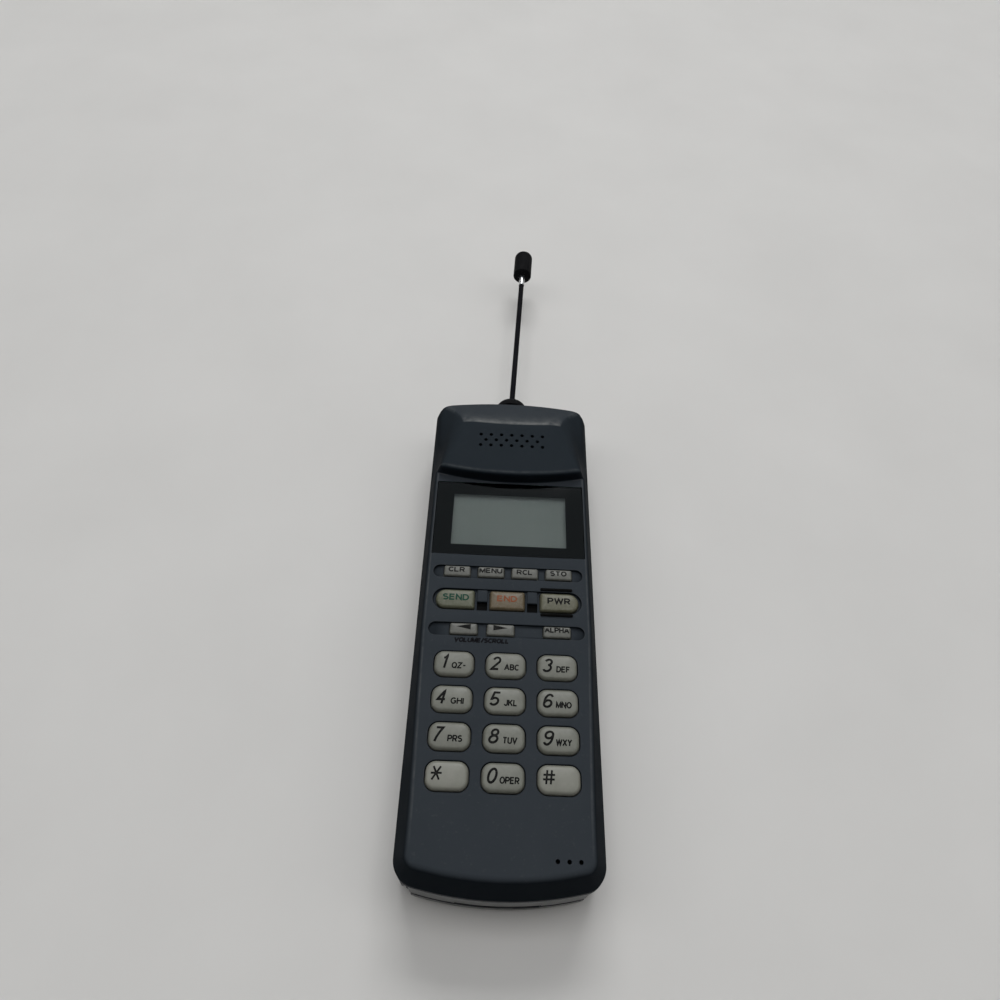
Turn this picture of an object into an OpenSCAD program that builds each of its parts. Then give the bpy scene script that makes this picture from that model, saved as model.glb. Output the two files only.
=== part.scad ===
// Brick cell phone lying on its back, with its antenna pulled out and its battery pack in place.
// Lengths are in millimetres. Places along y are counted from the microphone end of the body,
// places along z from the back that the phone rests on.

/* [Body] */
// Width across the sides
body_w = 58; // [57:0.5:62]
// Length from the microphone end to the antenna end
body_l = 174; // [173:0.5:180]
// Height of the key face above the back
face_z = 28; // [27.5:0.25:30]
// Height of the seam between the two shells
seam_z = 20.5; // [20:0.1:21]
// Radius of the four corners seen from above
corner_r = 7; // [6:0.5:9]
// Radius that the microphone end is bowed to
low_bow_r = 105; // [90:5:150]
// Radius that the antenna end is bowed to
top_bow_r = 150; // [110:5:200]
// Wall thickness of both shells
wall = 1.8; // [1.5:0.1:2]
// Thickness of the key face
face_t = 1.8; // [1.5:0.1:2]
// Lean of the front shell's sides in degrees
side_lean = 18; // [12:1:19]
// Radius of the soft edge round the key face
edge_r = 2.2; // [1.5:0.1:2.6]
// Step of the rear shell and the battery in from the front shell
rear_in = 0.3; // [0.1:0.1:0.6]
// Radius of the edges of the back
back_r = 3; // [1.5:0.5:4]
// Reach of the rear shell and the battery past the microphone end
foot_out = 0.6; // [0.3:0.1:1.2]
// Distance of the rear shell's foot below the seam
foot_drop = 0.7; // [0.5:0.1:1.5]
// Radius of the notches at the corners of the foot
notch_r = 2.2; // [1.8:0.1:2.6]
// Depth of the notches at the corners of the foot
notch_d = 1.3; // [0.8:0.1:1.5]

/* [Earpiece] */
// Height of the earpiece above the key face
ear_h = 4.5; // [3.5:0.25:6]
// Distance of the earpiece's lower edge from the antenna end
ear_l = 42.7; // [41:0.5:44]
// Radius that the earpiece's lower edge is bowed to
ear_bow_r = 105; // [80:5:150]
// Distance of the earpiece's flat top from the sides at its lower edge
ear_low_side = 3.5; // [3:0.25:6]
// Distance of the earpiece's flat top from the sides at its ridge
ear_ridge_side = 11.5; // [9:0.25:13]
// Distance of the ridge from the antenna end
ridge_l = 15.8; // [15:0.2:17]
// Radius of the earpiece's soft edges
ear_edge_r = 2; // [1:0.25:3]
// Height of the steep end wall under the earpiece's bevel
bevel_h = 3.1; // [2:0.1:4]
// Radius of one sound hole
sound_hole_r = 0.6; // [0.4:0.05:0.8]
// Distance of the outer sound holes from the ends of the ridge
sound_side = 6.25; // [5.8:0.05:8]
// Spacing of the rows of sound holes
sound_pitch_y = 2.45; // [2:0.05:2.8]
// Distance of the middle row of sound holes from the antenna end
sound_l = 26.9; // [26:0.1:28]

/* [Display] */
// Distance of the window from the sides of the body
window_side = 3.5; // [3.3:0.1:5.5]
// Height of the window on the face
window_d = 29.3; // [27:0.1:30.5]
// Gap between the window and the earpiece
window_space = 0.8; // [0.6:0.1:1.2]
// Thickness of the window
window_t = 1.4; // [1:0.1:1.5]
// Width of the black border beside the display
mask_side = 5.9; // [5:0.1:8]
// Width of the black border above and below the display
mask_end = 4.35; // [3.8:0.05:5.5]
// Reach of the display glass under the border at the sides
lcd_reach_x = 3.4; // [2:0.1:3.8]
// Reach of the display glass under the border above and below
lcd_reach_y = 3.2; // [2.6:0.1:3.4]
// Thickness of the display glass
lcd_t = 2.4; // [1.8:0.1:2.6]

/* [Number keys] */
// Distance of the outer columns' middle from the sides
digit_side = 13.33; // [13:0.05:14]
// Gap between the columns
digit_space_x = 3.47; // [2.5:0.05:4.5]
// Gap between the rows
digit_space_y = 2.65; // [2.2:0.05:3.5]
// Corner radius of a number key
digit_r = 3; // [2:0.1:3.6]
// Place of the lowest row
digit_y = 29.5; // [28.5:0.1:31]
// Distance of the highest row below the arrow keys' row
digit_row_gap = 11.65; // [11:0.05:12.5]
// Height of the number keys above the face
digit_rise = 1.3; // [0.8:0.1:2]

/* [Function keys] */
// Distance of the outer small keys' middle from the sides
fun_side = 12.35; // [12:0.05:12.6]
// Gap between the small keys under the window
fun_space = 2.45; // [2.1:0.05:3]
// Height of a small key on the face
fun_d = 3.8; // [3.4:0.1:4.2]
// Distance of the small keys' row below the window
upper_row_gap = 6.75; // [6:0.05:7.5]
// Distance of the large keys' row below the small keys
call_row_gap = 10.15; // [9.8:0.05:10.8]
// Distance of the arrow keys' row below the large keys
lower_row_gap = 10.3; // [9.8:0.05:10.8]
// Distance of the left arrow key's middle from the left side
left_side = 15.54; // [14.5:0.02:16]
// Spacing of the two arrow keys
arrow_pitch = 11.59; // [11:0.01:12]
// Distance of the letter key's middle from the right side
alpha_side = 13.16; // [12.6:0.02:14]
// Distance of the channels' ends from the sides
channel_side = 4.6; // [4.3:0.1:6]
// Depth of the channels
channel_d = 0.9; // [0.6:0.1:1]
// Height of the small keys above the face
fun_rise = 0.6; // [0.3:0.1:1]
// Width of the round-ended large keys
call_w = 12.3; // [11.5:0.1:12.6]
// Width of the square large key
end_w = 11.2; // [10.5:0.1:11.4]
// Height of the large keys on the face
call_d = 6.5; // [6:0.1:6.8]
// Distance of the round-ended keys' middle from the sides
call_side = 12.3; // [11.8:0.05:12.4]
// Height of the large keys above the face
call_rise = 0.9; // [0.5:0.1:1.5]
// Length of the guard ribs beside the power key
rib_l = 10.4; // [8:0.2:12]
// Thickness of a guard rib
rib_t = 1; // [0.8:0.1:1.2]
// Height of a guard rib above the face
rib_h = 1.5; // [1:0.1:2]

/* [Key action] */
// Travel of every key
key_travel = 0.8; // [0.5:0.05:1]
// Gap round a key in its opening
key_gap = 0.25; // [0.2:0.05:0.35]
// Reach of a key's flange past its opening
flange_reach = 0.6; // [0.4:0.05:0.7]
// Thickness of a key's flange
flange_t = 0.9; // [0.6:0.1:1]
// Radius of a key's stem
stem_r = 1.6; // [1.2:0.1:1.8]
// Radius of the soft upper edge of a key
key_edge_r = 1.1; // [0.6:0.1:1.3]
// Thickness of the rubber mat
mat_t = 1.2; // [0.8:0.1:1.3]

/* [Circuit board] */
// Depth of the board's front below the key face
board_drop = 6.6; // [6.4:0.05:6.8]
// Thickness of the board
board_t = 1.6; // [1:0.1:1.7]
// Distance of the board's end from the antenna end
board_end_l = 8; // [7.6:0.2:9]
// Thickness of the shield's sheet
shield_t = 0.4; // [0.3:0.05:0.6]

/* [Microphone] */
// Distance of the middle microphone hole from the right side
mic_side = 10.9; // [10.5:0.1:13]
// Place of the microphone holes
mic_y = 8.9; // [8.5:0.1:9.4]
// Spacing of the microphone holes
mic_pitch = 3.1; // [2.8:0.1:3.2]
// Radius of one microphone hole
mic_hole_r = 0.55; // [0.4:0.05:0.7]

/* [Antenna] */
// Lean of the antenna to the right in degrees
antenna_lean = 2.4; // [0:0.2:3]
// Radius of the whip
whip_r = 1.1; // [0.9:0.05:1.2]
// Length of the whip outside the body
whip_l = 86; // [74:1:90]
// Travel of the whip into the body
whip_travel = 68; // [50:1:68]
// Radius of the tip
tip_r = 4.1; // [3:0.1:4.5]
// Length of the tip
tip_l = 15; // [13:0.5:24]
// Radius of the bushing outside
bushing_r = 6.4; // [5.2:0.1:6.8]
// Length of the bushing outside
bushing_l = 5.5; // [5:0.1:9.3]
// Radius of the bushing's neck
neck_r = 3.6; // [3.4:0.1:3.7]

/* [Battery] */
// Length of the battery pack
pack_l = 126; // [124:0.5:127]
// Height of the roof of the battery bay above the back
bay_z = 9.6; // [9.4:0.1:9.8]
// Running gap of the battery pack in its bay
pack_gap = 0.3; // [0.25:0.05:0.4]
// Thickness of the rails that hold the pack
rail_t = 1; // [0.8:0.1:1.2]
// Reach of the rails in from the side of the case
rail_reach = 2.6; // [2.2:0.1:3]
// Width of the guide channel in the bay's roof
guide_w = 24; // [20:0.5:24]
// Depth of the guide channel
guide_d = 1.6; // [1.2:0.1:1.7]
// Wall of the battery pack
pack_wall = 1.3; // [1:0.1:1.4]
// Distance of the cells' ends from the sides
cell_side = 7; // [6.8:0.1:9]
// Width of one cell along the pack
cell_d = 17; // [15:0.5:17.5]
// Thickness of one cell
cell_t = 6.1; // [5:0.1:6.2]
// Number of cells
cell_count = 5; // [3:1:5]

/* [Battery catch] */
// Distance of the catch's pin from the inner end of the pack
latch_end = 10; // [9.5:0.25:11]
// Width of the catch
latch_w = 16; // [12:0.5:18]
// Half length of the catch
latch_half = 6.4; // [6:0.1:6.4]
// Height of the catch's pin above the back
latch_z = 3.3; // [3.2:0.05:3.5]
// Radius of the catch's pin
latch_pin_r = 1; // [0.8:0.05:1.1]

/* [Screws] */
// Distance of the screws from the sides
screw_side = 8.5; // [8:0.25:9]
// Place of the screws at the microphone end
screw_low_y = 18; // [17.5:0.25:18.5]
// Distance of the screws at the antenna end from that end
screw_top_l = 14; // [13.5:0.25:15]
// Radius of a screw's thread
screw_r = 1.25; // [1:0.05:1.5]
// Radius of a screw's head
screw_head_r = 2.3; // [2:0.1:2.5]
// Height of a screw's head
screw_head_h = 1.7; // [1.2:0.1:1.8]

/* [Hidden] */
$fn = 48;
corner_n = 8;
bow_n = 12;
edge_n = 4;
// Thickness of the slices that a rounded solid is stretched over
slice = 0.01;
// Overlap of a cut past the face that it opens
past = 1;
// Least radius that a corner shrinks to
least_r = 0.2;
// Gap between flat pieces that are assembled against each other
seat_gap = 0.1;
// Gap between pieces that stand beside each other
side_gap = 0.3;

// Outline of the body seen from above
corner_x = body_w / 2 - corner_r;
low_corner_y = low_bow_r - sqrt(pow(low_bow_r - corner_r, 2) - pow(corner_x, 2));
top_bow_y = body_l - top_bow_r;
top_corner_y = top_bow_y + sqrt(pow(top_bow_r - corner_r, 2) - pow(corner_x, 2));
low_angle = atan2(low_bow_r - low_corner_y, corner_x);
top_angle = atan2(top_corner_y - top_bow_y, corner_x);

// Heights inside the handset
ceiling_z = face_z - face_t;
lean = tan(side_lean);
edge_in = edge_r * cos(side_lean) + (face_z - edge_r + edge_r * sin(side_lean) - seam_z) * lean;
inner_in = wall / cos(side_lean);
foot_top = seam_z - foot_drop;
notch_turn = 38;
notch_roof = 0.8;
ear_y = body_l - ear_l;
ear_z = face_z + ear_h;
ear_low_w = body_w - 2 * ear_low_side;
ear_ridge_w = body_w - 2 * ear_ridge_side;
ridge_y = body_l - ridge_l;
board_top = face_z - board_drop;
board_z = board_top - board_t;
board_in = rear_in + wall + side_gap;
flange_top = ceiling_z - seat_gap;
flange_z = flange_top - flange_t;
stem_z = board_top + key_travel + seat_gap;
collar_top = flange_z - key_travel - side_gap;
stem_gap = 0.4;
collar_wall = 0.8;
mat_gap = 0.25;
mat_side = 6;
mat_w = body_w - 2 * mat_side;

// Window and display on the face
window_w = body_w - 2 * window_side;
window_y = ear_y - window_space - window_d / 2;
view_w = window_w - 2 * mask_side;
view_d = window_d - 2 * mask_end;
lcd_w = view_w + 2 * lcd_reach_x;
lcd_d = view_d + 2 * lcd_reach_y;

// Rows of keys from the window down, with the number keys spread between two places
upper_row_y = window_y - window_d / 2 - upper_row_gap;
call_y = upper_row_y - call_row_gap;
lower_row_y = call_y - lower_row_gap;
digit_rows = 4;
digit_pitch_x = body_w / 2 - digit_side;
digit_pitch_y = (lower_row_y - digit_row_gap - digit_y) / (digit_rows - 1);
digit_w = digit_pitch_x - digit_space_x;
digit_d = digit_pitch_y - digit_space_y;
digit_corner_r = min(digit_r, digit_d / 2 - seat_gap);
fun_pitch = (body_w / 2 - fun_side) / 1.5;
fun_w = fun_pitch - fun_space;
left_x = left_side - body_w / 2;
right_x = left_x + arrow_pitch;
alpha_x = body_w / 2 - alpha_side;
channel_w = body_w - 2 * channel_side;
call_x = body_w / 2 - call_side;

// Keys: name, place across, place along, width, height on the face, left and right corner radius, rise
small_r = 0.7;
call_r = call_d / 2 - seat_gap;
function digit_key(name, column, row) = [name, (column - 1) * digit_pitch_x, digit_y + row * digit_pitch_y,
    digit_w, digit_d, digit_corner_r, digit_corner_r, digit_rise];
function fun_key(name, x, y) = [name, x, y, fun_w, fun_d, small_r, small_r, fun_rise];
KEYS = [
    digit_key("key_star", 0, 0), digit_key("key_0", 1, 0), digit_key("key_hash", 2, 0),
    digit_key("key_7", 0, 1), digit_key("key_8", 1, 1), digit_key("key_9", 2, 1),
    digit_key("key_4", 0, 2), digit_key("key_5", 1, 2), digit_key("key_6", 2, 2),
    digit_key("key_1", 0, 3), digit_key("key_2", 1, 3), digit_key("key_3", 2, 3),
    fun_key("key_left", left_x, lower_row_y),
    fun_key("key_right", right_x, lower_row_y),
    fun_key("key_alpha", alpha_x, lower_row_y),
    fun_key("key_clear", -1.5 * fun_pitch, upper_row_y),
    fun_key("key_menu", -0.5 * fun_pitch, upper_row_y),
    fun_key("key_recall", 0.5 * fun_pitch, upper_row_y),
    fun_key("key_store", 1.5 * fun_pitch, upper_row_y),
    ["key_send", -call_x, call_y, call_w, call_d, call_r, small_r, call_rise],
    ["key_end", 0, call_y, end_w, call_d, small_r, small_r, call_rise],
    ["key_power", call_x, call_y, call_w, call_d, small_r, call_r, call_rise]];

// Row of the large keys
slot_w = 2 * (call_x + call_w / 2 + key_gap);
slot_d = call_d + 2 * key_gap;
filler_drop = 0.3;
filler_x0 = end_w / 2 + 2 * key_gap;
filler_x1 = call_x - call_w / 2 - 2 * key_gap;
rib_y = slot_d / 2 + rib_t / 2 + side_gap / 2;
rib_shift = 0.9;
rib_x = call_x - rib_shift;

// Window recess and display
window_gap = 0.15;
window_sink = 0.2;
mask_t = 0.15;
ledge_z = face_z - window_sink - window_t - mask_t;
ledge_t = 1.1;
ledge_reach = 3.2;
lcd_top = ledge_z - ledge_t - seat_gap;
lcd_z = lcd_top - lcd_t;
holder_wall = 1.4;
contact_strip_d = 1.8;

// Earpiece
ear_ceiling = ear_z - wall;
ear_lap = 0.3;
sound_y = body_l - sound_l;
sound_count = 7;
sound_w = ear_ridge_w - 2 * sound_side;
sound_pitch_x = sound_w / (sound_count - 1);
horn_margin = 1.6;
horn_r = sound_pitch_y + sound_hole_r + horn_margin;
gasket_wall = 1;
gasket_t = 1.5;
speaker_r = 10.5;
speaker_t = 5;
speaker_plate_t = 0.8;
speaker_top = ear_ceiling - gasket_t;
cup_wall = 2.5;

// Microphone
mic_x = body_w / 2 - mic_side;
mic_count = 3;
mic_r = 2.4;
mic_t = 2.8;
boot_r = 3.4;
boot_wall = 1;
boot_w = 2 * (mic_pitch + boot_r - boot_wall);
boot_shift = 1.5;
boot_y = mic_y + boot_shift;

// Antenna, measured along its own axis from the antenna end of the body
tube_t = 0.45;
whip_gap = 0.25;
stop_reach = 0.8;
stop_r = whip_r + stop_reach;
tube_r = stop_r + stem_gap;
tube_out_r = tube_r + tube_t;
bushing_gap = 0.3;
neck_l = 6;
stop_l = 2.6;
ferrule_t = 0.2;
ferrule_r = whip_r + ferrule_t;
ferrule_l = 6.4;
tip_edge = 0.6;
socket_l = 6;
ferrule_z = whip_l - ferrule_l;
whip_end = neck_l + side_gap + stop_l;
tube_spare = 2;
tube_end = whip_end + whip_travel + tube_spare;
antenna_z = bay_z + guide_d + wall + tube_out_r + side_gap;
fit_gap = 0.05;
clip_t = 0.7;
clip_tab_w = 5;
clip_tab_t = 0.5;
clip_tab_l = 8;
clip_l = 5;
clip_shift = 1.5;
clip_back = neck_l + clip_shift;
dome_r = min(bushing_r - whip_r - 2 * whip_gap, bushing_l - 2 * bushing_gap);

// Battery bay, rails and pack
floor_top = bay_z + wall;
guide_roof = bay_z + guide_d;
side_x = body_w / 2 - rear_in;
lid_top = bay_z - pack_gap;
lid_t = 1.1;
lid_z = lid_top - lid_t;
rail_top = lid_z - pack_gap;
rail_z = rail_top - rail_t;
pack_top = rail_z - pack_gap;
rail_x = side_x - rail_reach;
rail_wall = 1.5;
lid_half = side_x - rail_wall - pack_gap;
neck_half = rail_x - pack_gap;
rail_y = low_corner_y;
bay_end = pack_l + pack_gap;
cell_gap = 0.4;
cell_pitch = cell_d + cell_gap;
cell_y = 9;
cell_w = body_w - 2 * cell_side;
tray_l = cell_count * cell_pitch + cell_gap;
tray_w = cell_w + 2 * cell_gap;
guide_half = guide_w / 2 - pack_gap;
charge_x = 8.2;
charge_w = 7.4;
charge_d = 4;
charge_z = 5.8;
contact_x = [-21, 17, 21];
contact_y = 101;
pad_w = 3.2;
pad_d = 5;
pad_t = 0.5;
spring_w = 2.4;
spring_t = 0.4;
spring_foot = 3;

// Battery catch
latch_y = pack_l - latch_end;
latch_well_gap = 0.3;
latch_pad_z = 0.6;
latch_nose_z = 1.9;
latch_back_z = 5.6;
tooth_l = 2.5;
tooth_w = 10;
tooth_gap = 0.5;
tooth_z = guide_roof - tooth_gap;
latch_swing = 1.3;
latch_well_wall = 2;
pin_gap = 0.06;
leaf_w = 6;
leaf_t = 0.35;

// Screws
screw_x = body_w / 2 - screw_side;
screw_y = [screw_low_y, body_l - screw_top_l];
boss_wall = 1.7;
boss_r = screw_r + boss_wall;
head_gap = 0.3;
seat_rise = 0.6;
seat_z = floor_top + seat_rise;
screw_cover = 0.9;
screw_top = ceiling_z - screw_cover;
cross_w = 0.7;

// Parts under the board
shield_side = 8;
shield_w = body_w - 2 * shield_side;
shield_y = 25;
shield_tube_gap = 8;
shield_contact_gap = 14;
shield_l = min(body_l - tube_end - shield_tube_gap, contact_y - shield_contact_gap) - shield_y;
shield_gap = 0.5;
shield_z = guide_roof + wall + shield_gap;
chip_rows = 3;
chip_columns = 2;
chip_space = 3;
chip_t = 2.2;
chip_pitch_x = (shield_w - chip_space) / chip_columns;
chip_pitch_y = (shield_l - chip_space) / chip_rows;
ringer_r = 8.5;
ringer_t = board_z - guide_roof - wall - side_gap;
ringer_x = -13.4;
ringer_hole_r = 1.6;
ringer_hole_d = 1;
backup_r = 6.2;
backup_t = 2.6;
backup_x = 12;

// Number of sound holes in a row, with one less in the middle row
function row_count(row) = sound_count - (row == 0 ? 1 : 0);

// Points along an arc about c, leaving out some at each end
function arc(c, r, a0, a1, n, skip = 0) =
    [for (i = [skip : n - skip]) let (a = a0 + (a1 - a0) * i / n) c + r * [cos(a), sin(a)]];

// Outline of the body, drawn in by inset
function outline(inset) = concat(
    arc([corner_x, low_corner_y], corner_r - inset, -low_angle, 0, corner_n),
    arc([corner_x, top_corner_y], corner_r - inset, 0, top_angle, corner_n),
    arc([0, top_bow_y], top_bow_r - inset, top_angle, 180 - top_angle, bow_n, 1),
    arc([-corner_x, top_corner_y], corner_r - inset, 180 - top_angle, 180, corner_n),
    arc([-corner_x, low_corner_y], corner_r - inset, 180, 180 + low_angle, corner_n),
    arc([0, low_bow_r], low_bow_r - inset, 180 + low_angle, 360 - low_angle, bow_n, 1));

// Outline of a key about its middle, with its own corner radius at the left and at the right
function key_shape(w, d, left_r, right_r) = concat(
    arc([w / 2 - right_r, d / 2 - right_r], right_r, 0, 90, edge_n),
    arc([left_r - w / 2, d / 2 - left_r], left_r, 90, 180, edge_n),
    arc([left_r - w / 2, left_r - d / 2], left_r, 180, 270, edge_n),
    arc([w / 2 - right_r, right_r - d / 2], right_r, 270, 360, edge_n));

// Outline of the key k, grown by a margin
function key_outline(k, grow) =
    key_shape(k[3] + 2 * grow, k[4] + 2 * grow, max(k[5] + grow, least_r), max(k[6] + grow, least_r));

// Moves a piece from the microphone end to the middle of the back
module placed() translate([0, -body_l / 2, 0]) children();

// A prism of the flat shape between two heights
module between(z0, z1) translate([0, 0, z0]) linear_extrude(z1 - z0) children();

// A box about x, from y0 to y1 and z0 to z1
module box(x, w, y0, y1, z0, z1) translate([x - w / 2, y0, z0]) cube([w, y1 - y0, z1 - z0]);

// The part of the body's outline between two places along it
module outline_part(inset, y0, y1) intersection() {
    polygon(outline(inset));
    translate([-body_w, y0]) square([2 * body_w, y1 - y0]);
}

// A pill shape of the given overall length and height
module pill(w, d) {
    square([w - d, d], center = true);
    for (side = [-1, 1]) translate([side * (w - d) / 2, 0]) circle(d / 2);
}

// Stands a piece on the antenna's axis, with its own z along the whip
module along_antenna() translate([0, body_l, antenna_z]) rotate([-90, 0, -antenna_lean]) children();

// A piece of the given width across the phone, from its outline in y and z
module across(w) translate([-w / 2, 0, 0]) rotate([90, 0, 90]) linear_extrude(w) children();

module at_screws() for (x = [-screw_x, screw_x], y = screw_y) translate([x, y, 0]) children();

module front_body() hull() {
    between(seam_z, seam_z + slice) polygon(outline(0));
    for (i = [0 : edge_n]) {
        a = side_lean + (90 - side_lean) * i / edge_n;
        z = face_z - edge_r + edge_r * sin(a);
        between(z - slice, z) polygon(outline(edge_in - edge_r * cos(a)));
    }
}

// The flat top of the earpiece, drawn in by inset
module ear_top(inset) intersection() {
    polygon([
        [inset - ear_low_w / 2, ear_y], [ear_low_w / 2 - inset, ear_y],
        [ear_ridge_w / 2 - inset, ridge_y - inset], [inset - ear_ridge_w / 2, ridge_y - inset]]);
    translate([0, ear_y + ear_bow_r]) circle(ear_bow_r - inset, $fn = 240);
}

// The earpiece's foot inside the body's outline, drawn in by inset
module ear_foot(inset, lip) intersection() {
    polygon(outline(inset));
    translate([0, ear_y + ear_bow_r]) circle(ear_bow_r - lip, $fn = 240);
}

// The earpiece as a solid, drawn in by a wall all round
module ear_body(in) hull() {
    between(seam_z - (in > 0 ? past : 0), seam_z + slice) ear_foot(in, in);
    between(seam_z + bevel_h - in / 2, seam_z + bevel_h - in / 2 + slice) ear_foot(bevel_h * lean + in, in);
    for (i = [0 : edge_n]) {
        a = 90 * i / edge_n;
        z = ear_z - in - ear_edge_r + ear_edge_r * sin(a);
        between(z - slice, z) ear_top(in + ear_edge_r - ear_edge_r * cos(a));
    }
}

// The zone of the earpiece seen from above, drawn in by a lip, at all heights
module ear_zone(lip) between(seam_z - 2 * past, ear_z + past)
    translate([0, ear_y + ear_bow_r]) circle(ear_bow_r - lip);

// The outer form of the front shell: the key face as far as the earpiece, and the earpiece
module front_form() {
    difference() {
        front_body();
        ear_zone(ear_lap);
    }
    ear_body(0);
}

module face_cavity() difference() {
    hull() {
        between(seam_z - past, seam_z) polygon(outline(inner_in));
        between(ceiling_z - slice, ceiling_z) polygon(outline(inner_in + (ceiling_z - seam_z) * lean));
    }
    ear_zone(wall + ear_lap);
}

module front_shell() color([0.19, 0.2, 0.22]) difference() {
    union() {
        difference() {
            front_form();
            face_cavity();
            ear_body(wall);
        }
        box(0, window_w + side_gap, window_y - window_d / 2 - side_gap, window_y + window_d / 2 + side_gap,
            ledge_z - ledge_t, ceiling_z + seat_gap);
        intersection() {
            front_form();
            at_screws() between(board_top, ear_z) circle(boss_r);
        }
        for (side = [-1, 1])
            box(rib_x, rib_l, call_y + side * rib_y - rib_t / 2, call_y + side * rib_y + rib_t / 2,
                face_z - face_t, face_z + rib_h);
    }
    // Window recess, and the opening over the display
    box(0, window_w + 2 * window_gap, window_y - window_d / 2 - window_gap,
        window_y + window_d / 2 + window_gap, ledge_z, ear_z);
    box(0, window_w - 2 * ledge_reach, window_y - window_d / 2 + ledge_reach / 2,
        window_y + window_d / 2 - ledge_reach / 2, seam_z, face_z);
    // Channels of the small keys, and the slot of the large keys with its two fillers
    for (y = [lower_row_y, upper_row_y]) translate([0, y, 0])
        between(face_z - channel_d, face_z + past) pill(channel_w, fun_d + 2 * key_gap);
    difference() {
        translate([0, call_y, 0]) between(face_z - channel_d, face_z + past) pill(slot_w, slot_d);
        for (side = [-1, 1])
            box(side * (filler_x0 + filler_x1) / 2, filler_x1 - filler_x0, call_y - slot_d, call_y + slot_d,
                seam_z, face_z - filler_drop);
    }
    for (k = KEYS) translate([k[1], k[2], 0])
        between(seam_z, face_z + past) polygon(key_outline(k, key_gap));
    // Sound holes in the earpiece and microphone holes at the other end
    for (row = [-1 : 1], i = [0 : row_count(row) - 1])
        translate([(i - (row_count(row) - 1) / 2) * sound_pitch_x, sound_y + row * sound_pitch_y, 0])
            between(ear_ceiling - past, ear_z + past) circle(sound_hole_r);
    for (i = [0 : mic_count - 1]) translate([mic_x + (i - (mic_count - 1) / 2) * mic_pitch, mic_y, 0])
        between(ceiling_z - past, face_z + past) circle(mic_hole_r);
    at_screws() between(seam_z, screw_top + side_gap) circle(screw_r + fit_gap);
}

// A solid up to the height top between two places along the body, with the soft edge of the back
module back_edge(top, y0, y1) hull() {
    for (i = [0 : edge_n - 1]) {
        a = 90 * i / edge_n;
        z = back_r - back_r * cos(a);
        between(z, z + slice) outline_part(rear_in + back_r - back_r * sin(a), y0, y1);
    }
    between(back_r, top) outline_part(rear_in, y0, y1);
}

// Notches at the corners of the foot
module foot_notches(z0, z1) for (side = [-1, 1]) translate([side * corner_x, low_corner_y - foot_out, 0])
    rotate([0, 0, -90 + side * notch_turn]) translate([corner_r - rear_in + notch_r - notch_d, 0, 0])
        between(z0, z1) circle(notch_r);

// The closed end of the rear shell that stands behind the earpiece
module rear_head() back_edge(bay_z + past, bay_end, body_l);

module rear_shell() color([0.2, 0.21, 0.23]) difference() {
    union() {
        difference() {
            union() {
                between(bay_z, seam_z) polygon(outline(rear_in));
                between(bay_z, foot_top) translate([0, -foot_out]) outline_part(rear_in, 0, bay_end);
                rear_head();
                for (side = [-1, 1]) {
                    box(side * (side_x - rail_wall / 2), rail_wall, rail_y, bay_end + past,
                        rail_z, floor_top);
                    box(side * (side_x - rail_reach / 2), rail_reach, rail_y, bay_end + past,
                        rail_z, rail_top);
                }
            }
            between(floor_top, seam_z + past) polygon(outline(rear_in + wall));
            between(wall, floor_top + past) outline_part(rear_in + wall, bay_end + wall, body_l);
        }
        box(0, guide_w + 2 * wall, rear_in + wall, bay_end + wall, bay_z, guide_roof + wall);
        at_screws() between(floor_top - past, board_z) circle(boss_r);
        for (x = [-screw_x, screw_x]) translate([x, screw_y[1], 0])
            between(back_r / 2, board_z) circle(screw_head_r + head_gap + wall);
    }
    box(0, guide_w, -foot_out - past, bay_end - pack_gap, bay_z - past, guide_roof);
    for (x = contact_x)
        box(x, spring_w + 2 * side_gap, contact_y - spring_foot / 2 - side_gap,
            contact_y + spring_foot / 2 + side_gap, bay_z - past, floor_top + past);
    at_screws() {
        between(-past, seat_z) circle(screw_head_r + head_gap);
        between(0, seam_z) circle(screw_r + head_gap);
    }
    along_antenna() between(-neck_l, neck_l) circle(neck_r + fit_gap);
    foot_notches(bay_z - past, foot_top - notch_roof);
}

module display_window() color([0.06, 0.07, 0.08])
    box(0, window_w, window_y - window_d / 2, window_y + window_d / 2,
        ledge_z + mask_t, ledge_z + mask_t + window_t);

module window_mask() color([0.02, 0.02, 0.02]) difference() {
    box(0, window_w, window_y - window_d / 2, window_y + window_d / 2, ledge_z, ledge_z + mask_t);
    box(0, view_w, window_y - view_d / 2, window_y + view_d / 2, ledge_z - past, ledge_z + past);
}

module lcd_panel() color([0.55, 0.58, 0.53])
    box(0, lcd_w, window_y - lcd_d / 2, window_y + lcd_d / 2, lcd_z, lcd_top);

module lcd_holder() color([0.75, 0.75, 0.72]) difference() {
    box(0, lcd_w + 2 * (seat_gap + holder_wall), window_y - lcd_d / 2 - seat_gap - holder_wall,
        window_y + lcd_d / 2 + seat_gap + holder_wall, board_top, lcd_top);
    box(0, lcd_w + 2 * seat_gap, window_y - lcd_d / 2 - seat_gap, window_y + lcd_d / 2 + seat_gap,
        board_top - past, lcd_top + past);
}

module lcd_light_guide() color([0.85, 0.9, 0.85])
    box(0, lcd_w, window_y - lcd_d / 2 + contact_strip_d + side_gap,
        window_y + lcd_d / 2 - contact_strip_d - side_gap, board_top, lcd_z);

module lcd_connectors() color([0.25, 0.25, 0.28]) for (side = [-1, 1])
    translate([0, window_y + side * (lcd_d - contact_strip_d) / 2, 0])
        box(0, lcd_w, -contact_strip_d / 2, contact_strip_d / 2, board_top, lcd_z);

module earpiece_speaker() color([0.3, 0.3, 0.32]) translate([0, sound_y, 0]) {
    between(speaker_top - speaker_t, speaker_top) circle(speaker_r);
    between(speaker_top - speaker_plate_t, speaker_top) pill(sound_w + 2 * horn_r, 2 * horn_r);
}

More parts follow.
